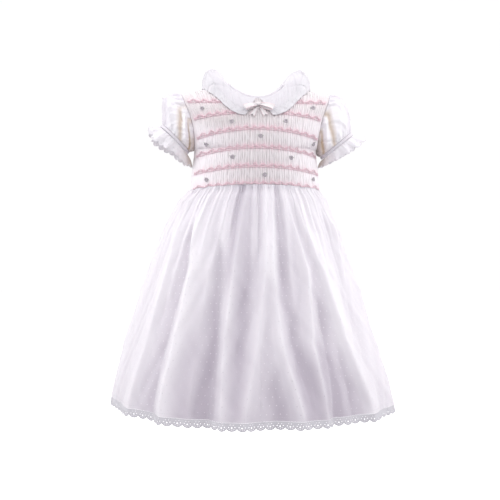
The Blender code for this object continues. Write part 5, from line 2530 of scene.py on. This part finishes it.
@dataclass
class PuffSleeves(SubAssembly):
    """Puff sleeves with their cuff bands and lace frills."""

    wall: float = 0.0005
    columns: int = 250
    levels: int = 62
    cut: tuple[float, float] = (0.300, 0.095)
    cut_area: float = 0.0160
    trough_depth: float = 0.0036
    # Strengths of the painted warm shade in the troughs and under the arm, and of the painted grey shade over
    # the puff.
    trough_shading: float = 0.70
    underarm_shading: float = 0.60
    top_shading: float = 0.62
    dots_round: int = 28
    band_columns: int = 160
    band_wall: float = 0.0009
    band_flat: tuple[float, float] = (0.19, 0.005)
    frill_period: float = 0.0100
    frill_width: float = 0.0185

    def build(self) -> None:
        """Make both sleeves."""
        for side in Side:
            self.build_side(side)

    def under_shade(self, form: SleeveForm, turn: Array, along: Array) -> Array:
        """How far the cloth takes its painted warm shade: in the long troughs and under the arm.

        Args:
            form: The sleeve's form.
            turn: Turns round the arm.
            along: Places from armhole to cuff.

        Returns:
            0 for white cloth, 1 for the full painted shade.
        """
        low = np.degrees(turn_from_top(turn))
        trough = np.clip(-form.long_folds(turn, along) / self.trough_depth, 0.0, 1.0) ** 0.7
        shade = self.trough_shading * trough * smooth_step((low - 52.0) / 26.0)
        shade = shade + self.underarm_shading * smooth_step((low - 104.0) / 34.0) * blend(1.0, 0.55, along)
        return np.clip(shade, 0.0, 1.0)

    def top_shade(self, turn: Array) -> Array:
        """How far the cloth takes its painted grey shade, over the top of the puff."""
        return self.top_shading * smooth_step((84.0 - np.degrees(turn_from_top(turn))) / 60.0)

    def round_arm(self, columns: int, levels: int) -> tuple[Array, Array]:
        """A grid of places right round and along a sleeve, from under the arm."""
        return grid(math.pi + even_turns(columns), np.linspace(0.0, 1.0, levels + 1))

    def build_sleeve(self, side: Side) -> Piece:
        """Make the cloth of one sleeve.

        Args:
            side: Which sleeve.

        Returns:
            The piece.
        """
        form = SleeveForm(side)
        turn, along = self.round_arm(self.columns, self.levels)
        piece = PieceMesh(f"puff_sleeve_{side.word}")
        piece.add_cloth(
            form, (turn, along), self.wall, self.cut, closed=True,
            tint=self.under_shade(form, turn, along), valley=self.top_shade(turn),
        )
        return piece.make((self.finishes.sleeve,))

    def build_dots(self, side: Side) -> Piece:
        """Make the woven dots of one sleeve.

        Args:
            side: Which sleeve.

        Returns:
            The piece.
        """
        form, count = SleeveForm(side), self.dots_round
        piece = PieceMesh(f"sleeve_dots_{side.word}")
        turn, along = np.meshgrid(np.arange(0.5, count) / count, np.arange(0.10, 0.95, 0.115))
        turn = turn + 0.5 / count * (np.arange(along.shape[0]) % 2)[:, None]
        turn, along = turn.ravel() * 2 * math.pi, along.ravel()
        dots = Dots(form, 0.0009, 0.0003)
        dots.lay(piece, turn, along, self.under_shade(form, turn, along), self.top_shade(turn))
        return piece.make((self.finishes.sleeve,))

    def build_side(self, side: Side) -> None:
        """Make one sleeve with its dots, band and frill.

        Args:
            side: Which sleeve.
        """
        sleeve = enter(self.build_sleeve(side), Slot.VOILE, f"sleeve_{side.word}")
        dots = enter(self.build_dots(side), Slot.VOILE)
        band = PieceMesh(f"cuff_binding_{side.word}")
        places = self.round_arm(self.band_columns, 8)
        band.add_cloth(CuffForm(side), places, self.band_wall, self.band_flat, closed=True)
        enter(band.make((self.finishes.collar,)), Slot.VOILE, f"cuff_band_{side.word}")
        form = FrillForm(side)
        edging = LaceEdging(
            form, math.pi, 3 * math.pi, 0.02, 1.0, self.frill_period, closed=True,
            pattern=LacePattern(0.22, 0.45),
        )
        frill = edging.build(f"cuff_lace_{side.word}", (self.finishes.lace,))
        enter(frill, Slot.LACE, f"cuff_frill_{side.word}")
        fine = np.linspace(0.0, 2 * math.pi, 900)
        run = path_length(form.place(fine, np.full(fine.shape, 0.95)))


@dataclass
class RibbonBow(SubAssembly):
    """Small ribbon bow at centre front: a knot, two loops and two tails."""

    height: float = -0.0400
    clearance: float = 0.0039
    knot_size: tuple[float, float, float] = (0.0064, 0.0054, 0.0064)
    loop_puff: float = 0.0032
    loop_narrow: float = 0.45
    loop_flat: float = 0.35
    tail_narrow: float = 0.50
    tail_dip: float = 0.0027
    tail_wave: float = 0.0006
    tail_notch: float = 0.0035
    cup: float = 0.0007
    pleat: float = 0.0005
    wall: float = 0.0004
    rows: Table = Table(
        ("name", "droop", "length", "width", "start", "lift"),
        (
            ("bow_loop", 30.0, 0.0225, 0.0095, 0.0026, 0.0060),
            ("bow_tail", 64.0, 0.0200, 0.0080, 0.0048, 0.0012),
        ),
    )

    def axes(self) -> tuple[Array, Array, Array, Array]:
        """Where the bow sits.

        Returns:
            Its centre, and the directions out of, across and down the chest there.
        """
        seat, normal = BODY.centre_seat(self.height, Face.FRONT)
        across = np.array([1.0, 0.0, 0.0])
        down = np.cross(across, normal)
        return seat + normal * self.clearance, normal, across, -np.sign(down[2]) * down

    def profile(self, row: dict) -> tuple[Array, Array, Array]:
        """How a ribbon runs out from the knot.

        Args:
            row: The ribbon's record.

        Returns:
            Shares of its length, its lift off the chest and its width.
        """
        if row["name"] == "bow_loop":
            turn = np.linspace(0.0, 2 * math.pi, 51)[3:-3]
            outer = np.sin(turn / 2)
            lift = self.loop_puff * np.sin(turn) * blend(self.loop_flat, 1.0, outer)
            return (1 - np.cos(turn)) / 2, lift, row["width"] * blend(self.loop_narrow, 1.0, outer)
        share = np.linspace(0.0, 1.0, 33)
        lift = self.tail_wave * np.sin(2 * math.pi * share) - self.tail_dip
        return share, lift, row["width"] * blend(self.tail_narrow, 1.0, share)

    def ribbon_path(self, row: dict, side: Side) -> tuple[Array, Array, Array]:
        """Middle line of a loop or tail.

        Args:
            row: The ribbon's record.
            side: Which side of the knot.

        Returns:
            Its points, its direction out from the knot and its direction across the ribbon.
        """
        centre, normal, across, down = self.axes()
        angle = math.radians(row["droop"])
        way = math.cos(angle) * side.value * across + math.sin(angle) * down
        flow = -math.sin(angle) * side.value * across + math.cos(angle) * down
        share, lift, _ = self.profile(row)
        reach = row["start"] + row["length"] * share
        return centre + reach[:, None] * way + (lift + row["lift"] * share)[:, None] * normal, way, flow

    def build_ribbon(self, row: dict, side: Side) -> Piece:
        """Make one loop or tail, cupped across and pleated into the knot.

        Args:
            row: The ribbon's record.
            side: Which side of the knot.

        Returns:
            The piece.
        """
        path, way, flow = self.ribbon_path(row, side)
        share, _, width = self.profile(row)
        shares = np.linspace(-0.5, 0.5, 17)
        out = np.cross(np.gradient(path, axis=0), flow)
        out /= np.linalg.norm(out, axis=1, keepdims=True)
        cup = self.cup * np.cos(2 * math.pi * shares)[:, None] * (1 - 0.6 * share)[None, :]
        pleat = self.pleat * np.cos(10 * math.pi * shares)[:, None] * bell(share, 0.35)[None, :]
        notch = np.zeros((17, len(share)))
        if row["name"] == "bow_tail":
            notch = -self.tail_notch * (1 - 2 * np.abs(shares))[:, None] * smooth_step((share - 0.7) / 0.3)
        middle = path[None] + shares[:, None, None] * width[None, :, None] * flow + notch[..., None] * way
        top = middle + (cup + pleat + self.wall / 2)[..., None] * out[None]
        bottom = middle + (cup + pleat - self.wall / 2)[..., None] * out[None]
        edge = smooth_step((np.abs(shares) - 0.38) / 0.07)[:, None] + 0 * share[None, :]
        piece = PieceMesh(f"ribbon_{row['name'][4:]}_{side.word}")
        piece.add_shell(top, bottom, (path_length(path), row["width"]), tint=edge)
        return piece.make((self.finishes.ribbon,))

    def build_knot(self) -> Piece:
        """Make the knot: ribbon wrapped round the middle, with small pleats.

        Returns:
            The piece.
        """
        centre, normal, across, down = self.axes()
        turn, level = grid(np.linspace(0.0, 2 * math.pi, 49)[:-1], np.linspace(-1.0, 1.0, 25))
        size = np.array(self.knot_size) / 2
        swell = rounded(level * 0.985, 2.6)
        crease = 1.0 + 0.05 * np.cos(13 * level + 1.2 * np.sin(turn))
        x = size[0] * level * 0.98
        y = size[1] * swell * crease * np.cos(turn)
        z = size[2] * swell * crease * np.sin(turn)
        outer = centre + x[..., None] * across + y[..., None] * normal + z[..., None] * down
        inner = centre + x[..., None] * across + 0.7 * y[..., None] * normal + 0.7 * z[..., None] * down
        piece = PieceMesh("ribbon_knot")
        piece.add_shell(outer, inner, (0.02, 0.008), closed=True)
        return piece.make((self.finishes.ribbon,))

    def build(self) -> None:
        """Make the bow."""
        knot = enter(self.build_knot(), Slot.RIBBON, "bow_knot")
        for row in self.rows.records():
            for side in Side:
                ribbon = enter(self.build_ribbon(row, side), Slot.RIBBON, f"{row['name']}_{side.word}")
                length = path_length(self.ribbon_path(row, side)[0])
                shell_area(ribbon)


@dataclass
class Skirt(SubAssembly):
    """Gathered skirt, front and back, with woven dots and hem lace."""

    wall: float = 0.0005
    front_columns: int = 470
    back_columns: int = 380
    levels: int = 84
    level_power: float = 1.25
    cut: tuple[float, float] = (0.680, 0.338)
    side_seam_angle: float = 0.0012
    trough_reach: float = math.radians(11.0)
    trough_depth: float = 0.0075
    # Strengths of the painted shade at the hem, at the gathers and in the troughs, and of the painted
    # highlight on the crests.
    hem_shade: float = 0.66
    gather_shade: float = 0.34
    trough_shade: float = 0.6
    crest_tint: float = 0.65
    # Painted shade in bands round the skirt, their height column giving how much; below 0 it is painted
    # light.
    shades: FoldLines = FoldLines(
        (0.08, 0.36, 0.64, 0.92),
        (
            (-0.2, 2, -10, -10, -9.5, -10, 0.26, 5, 5),
            (-0.2, 0.6, -16, -15.5, -15, -15, 0.40, 4.5, 4.5),
            (-0.2, 0.5, 6, 5, 5, 5, -0.26, 6, 5),
            (0.45, 2, 3, 3, 2.5, 3, -0.48, 5, 5),
            (-0.2, 2, -50, -48, -48, -48, -0.14, 7, 7),
            (0, 0.7, -21, -20, -20, -20, -0.40, 4.5, 4.5),
            (0.6, 2, -30, -30, -30, -30, 0.24, 5, 5),
            (-0.2, 0.95, 39, 40, 40, 40, -0.40, 6, 6),
            (-0.2, 2, 60, 60, 60, 60, -0.20, 8, 8),
            (0.65, 2, 22, 22, 23, 22, 0.65, 9, 12),
        ),
        power=2.0,
    )
    lace_period: float = 0.0150
    dot_columns: int = 62
    dot_rows: int = 28

    def angles(self, face: Face, count: int) -> Array:
        """Angles across a panel, clear of the side seams.

        Args:
            face: Which panel.
            count: Number of steps from seam to seam.

        Returns:
            One angle more than the count.
        """
        reach = math.pi / 2 - self.side_seam_angle
        angles = np.linspace(-reach, reach, count + 1)
        return angles if face is Face.FRONT else angles + math.pi

    def standing(self, form: SkirtForm, angle: Array, share: Array) -> Array:
        """How far each place stands out from, or sinks below, the cloth on either side of it.

        Args:
            form: The skirt's form.
            angle: Grid of angles, the same in every row.
            share: Grid of shares of the length, the same in every column.

        Returns:
            1 on a full crest, -1 in a full trough.
        """
        height = form.relief(angle, share)
        apart = angle[0][:, None] - angle[0][None, :]
        near = bell(apart, self.trough_reach)
        level = height @ (near / near.sum(axis=0))
        return np.clip((height - level) / self.trough_depth, -1.0, 1.0)

    def depth_shade(self, angle: Array, share: Array) -> Array:
        """Painted shade: darker towards the hem and where the gathers are densest, less so at the sides.

        Args:
            angle: Angles round the skirt.
            share: Shares of the length.

        Returns:
            0 for plain cloth, more where the painted shade is darker, and below 0 where painted light makes
            it paler.
        """
        middle = np.exp(-((np.sin(angle) / 0.85) ** 4))
        hem = self.hem_shade * share**1.2 * blend(0.25, 1.0, middle)
        gathers = self.gather_shade * (1.0 - share) * bell(np.sin(angle), 0.42)
        return hem + gathers + self.shades.at(np.degrees(angle), share)

    def build_panel(self, face: Face) -> Piece:
        """Make the cloth of one panel.

        Args:
            face: Which panel.

        Returns:
            The piece.
        """
        form = SkirtForm(face)
        count = self.front_columns if face is Face.FRONT else self.back_columns
        share = np.linspace(0.0, 1.0, self.levels + 1) ** self.level_power
        angle, share = grid(self.angles(face, count), share)
        standing = self.standing(form, angle, share) * blend(0.55, 1.0, smooth_step(share / 0.5))
        # Painted shade in the troughs, and a painted highlight on the crests.
        shade = self.depth_shade(angle, share) + self.trough_shade * np.clip(-standing, 0.0, 1.0) ** 0.8
        pale = self.crest_tint * np.clip(standing, 0.0, 1.0) ** 1.5 * (1.0 - 0.4 * share)
        piece = PieceMesh(f"skirt_panel_{face.word}")
        piece.add_cloth(
            form, (angle, share), self.wall, self.cut,
            tint=np.clip(pale + np.clip(-shade, 0.0, 1.0), 0.0, 1.0), valley=np.clip(shade, 0.0, 1.0),
        )
        return piece.make((self.finishes.skirt,))

    def build_dots(self, face: Face) -> Piece:
        """Make the woven dots and the hem stitches of one panel.

        Args:
            face: Which panel.

        Returns:
            The piece.
        """
        form = SkirtForm(face)
        angles = self.angles(face, 1600)
        run = path_run(form.place(angles, np.full(angles.shape, 0.8)))
        piece = PieceMesh(f"skirt_dots_{face.word}")
        spots = Dots(form)
        for row in range(self.dot_rows):
            share = np.full(self.dot_columns - 1, (row + 0.8) / (self.dot_rows + 0.6))
            place = (np.arange(self.dot_columns - 1) + 0.75 + 0.5 * (row % 2)) / (self.dot_columns + 0.5)
            angle = np.interp(place * run[-1], run, angles)
            spots.lay(piece, angle, share, 0.1, np.clip(self.depth_shade(angle, share), 0.0, 1.0))
        fine = self.angles(face, 900)[3:-3]
        Stitches(form, radius=0.0002).lay(piece, fine, np.full(fine.shape, 0.985), finish=1)
        return piece.make((self.finishes.skirt, self.finishes.hem_lace))

    def build(self) -> None:
        """Make both panels with their lace."""
        for face in Face:
            panel = enter(self.build_panel(face), Slot.VOILE, f"skirt_{face.word}")
            dots = enter(self.build_dots(face), Slot.VOILE)
            form = SkirtForm(face)
            start, end = self.angles(face, 1)
            edging = LaceEdging(
                form, float(start), float(end), 1.02, 2.0, self.lace_period, pattern=LacePattern(0.32, 0.6)
            )
            lace = edging.build(f"hem_edging_{face.word}", (self.finishes.hem_lace,))
            enter(lace, Slot.LACE, f"hem_lace_{face.word}")
            float(edging.run()[1][-1])


@dataclass
class Studio:
    """Pale floor, soft lights and the camera."""

    turn: float = math.radians(4.5)
    distance: float = 1.6
    height: float = -0.2578
    offset: float = -0.0078
    lens: float = 73.728
    floor_height: float = -0.95
    floor_size: float = 30.0
    ambient: float = 1.14
    seen_level: float = 1.02
    light_size: float = 0.9
    light_distance: float = 0.95
    light_height: float = 0.35
    lights: tuple[tuple[str, float, float], ...] = (
        ("front light", 0.0, 2.4),
        ("left light", -88.0, 4.9),
        ("right light", 88.0, 5.3),
        ("back light", 180.0, 2.4),
    )

    def build(self, finishes: Finishes) -> None:
        """Set up the studio.

        Args:
            finishes: Every finish, the floor's among them.
        """
        scene = bpy.context.scene
        scene.view_settings.view_transform = "Standard"
        ahead = np.array([math.sin(self.turn), math.cos(self.turn), 0.0])
        right = np.array([math.cos(self.turn), -math.sin(self.turn), 0.0])
        data = bpy.data.cameras.new("camera")
        data.lens = self.lens
        data.sensor_width = 36.0
        camera = bpy.data.objects.new("camera", data)
        camera.location = self.offset * right - self.distance * ahead + np.array([0.0, 0.0, self.height])
        camera.rotation_euler = (math.pi / 2, 0.0, -self.turn)
        scene.collection.objects.link(camera)
        scene.camera = camera
        self.build_floor(finishes)
        self.build_world()
        for name, turn, power in self.lights:
            self.build_light(name, turn, power)

    def build_floor(self, finishes: Finishes) -> None:
        """Add a plain pale floor well below the hem.

        Args:
            finishes: Every finish, the floor's among them.
        """
        half = self.floor_size / 2
        mesh = bpy.data.meshes.new("floor")
        corners = [(-half, -half), (half, -half), (half, half), (-half, half)]
        mesh.from_pydata([(x, y, self.floor_height) for x, y in corners], [], [(0, 1, 2, 3)])
        mesh.materials.append(finishes.floor)
        floor = bpy.data.objects.new("floor", mesh)
        bpy.context.scene.collection.objects.link(floor)

    def build_world(self) -> None:
        """An even pale light from all round."""
        world = bpy.data.worlds.new("studio")
        world.use_nodes = True
        make = NodeMaker(world.node_tree)
        background = world.node_tree.nodes["Background"]
        seen = make.add("ShaderNodeLightPath").outputs["Is Camera Ray"]
        level = {0: seen, 1: self.seen_level - self.ambient, 2: self.ambient}
        strength = make.add("ShaderNodeMath", level, operation="MULTIPLY_ADD").outputs[0]
        make.fill(background, {"Strength": strength, "Color": (1.0, 0.99, 1.0, 1.0)})
        bpy.context.scene.world = world

    def build_light(self, name: str, turn: float, power: float) -> None:
        """Add a soft light that looks at the dress.

        Args:
            name: The light's name.
            turn: Degrees round from the front.
            power: Its power in watts.
        """
        data = bpy.data.lights.new(name, "AREA")
        data.size = self.light_size
        data.energy = power
        light = bpy.data.objects.new(name, data)
        angle = math.radians(turn)
        place = Vector((math.sin(angle), -math.cos(angle), 0.0)) * self.light_distance
        place.z = self.light_height
        light.location = place
        look = Vector((0.0, 0.0, self.height)) - place
        light.rotation_euler = look.to_track_quat("-Z", "Y").to_euler()
        bpy.context.scene.collection.objects.link(light)


def main() -> None:
    """Build the studio and every piece of the dress."""
    logging.basicConfig(level=logging.INFO, format="%(name)s: %(message)s")
    finishes = Finishes()
    Studio().build(finishes)
    for part in (SmockedFront, BackBodice, NeckBinding, Collar, PuffSleeves, RibbonBow, Skirt):
        LOG.info("building %s", part.__name__)
        part(finishes).build()


if __name__ == "__main__":
    main()
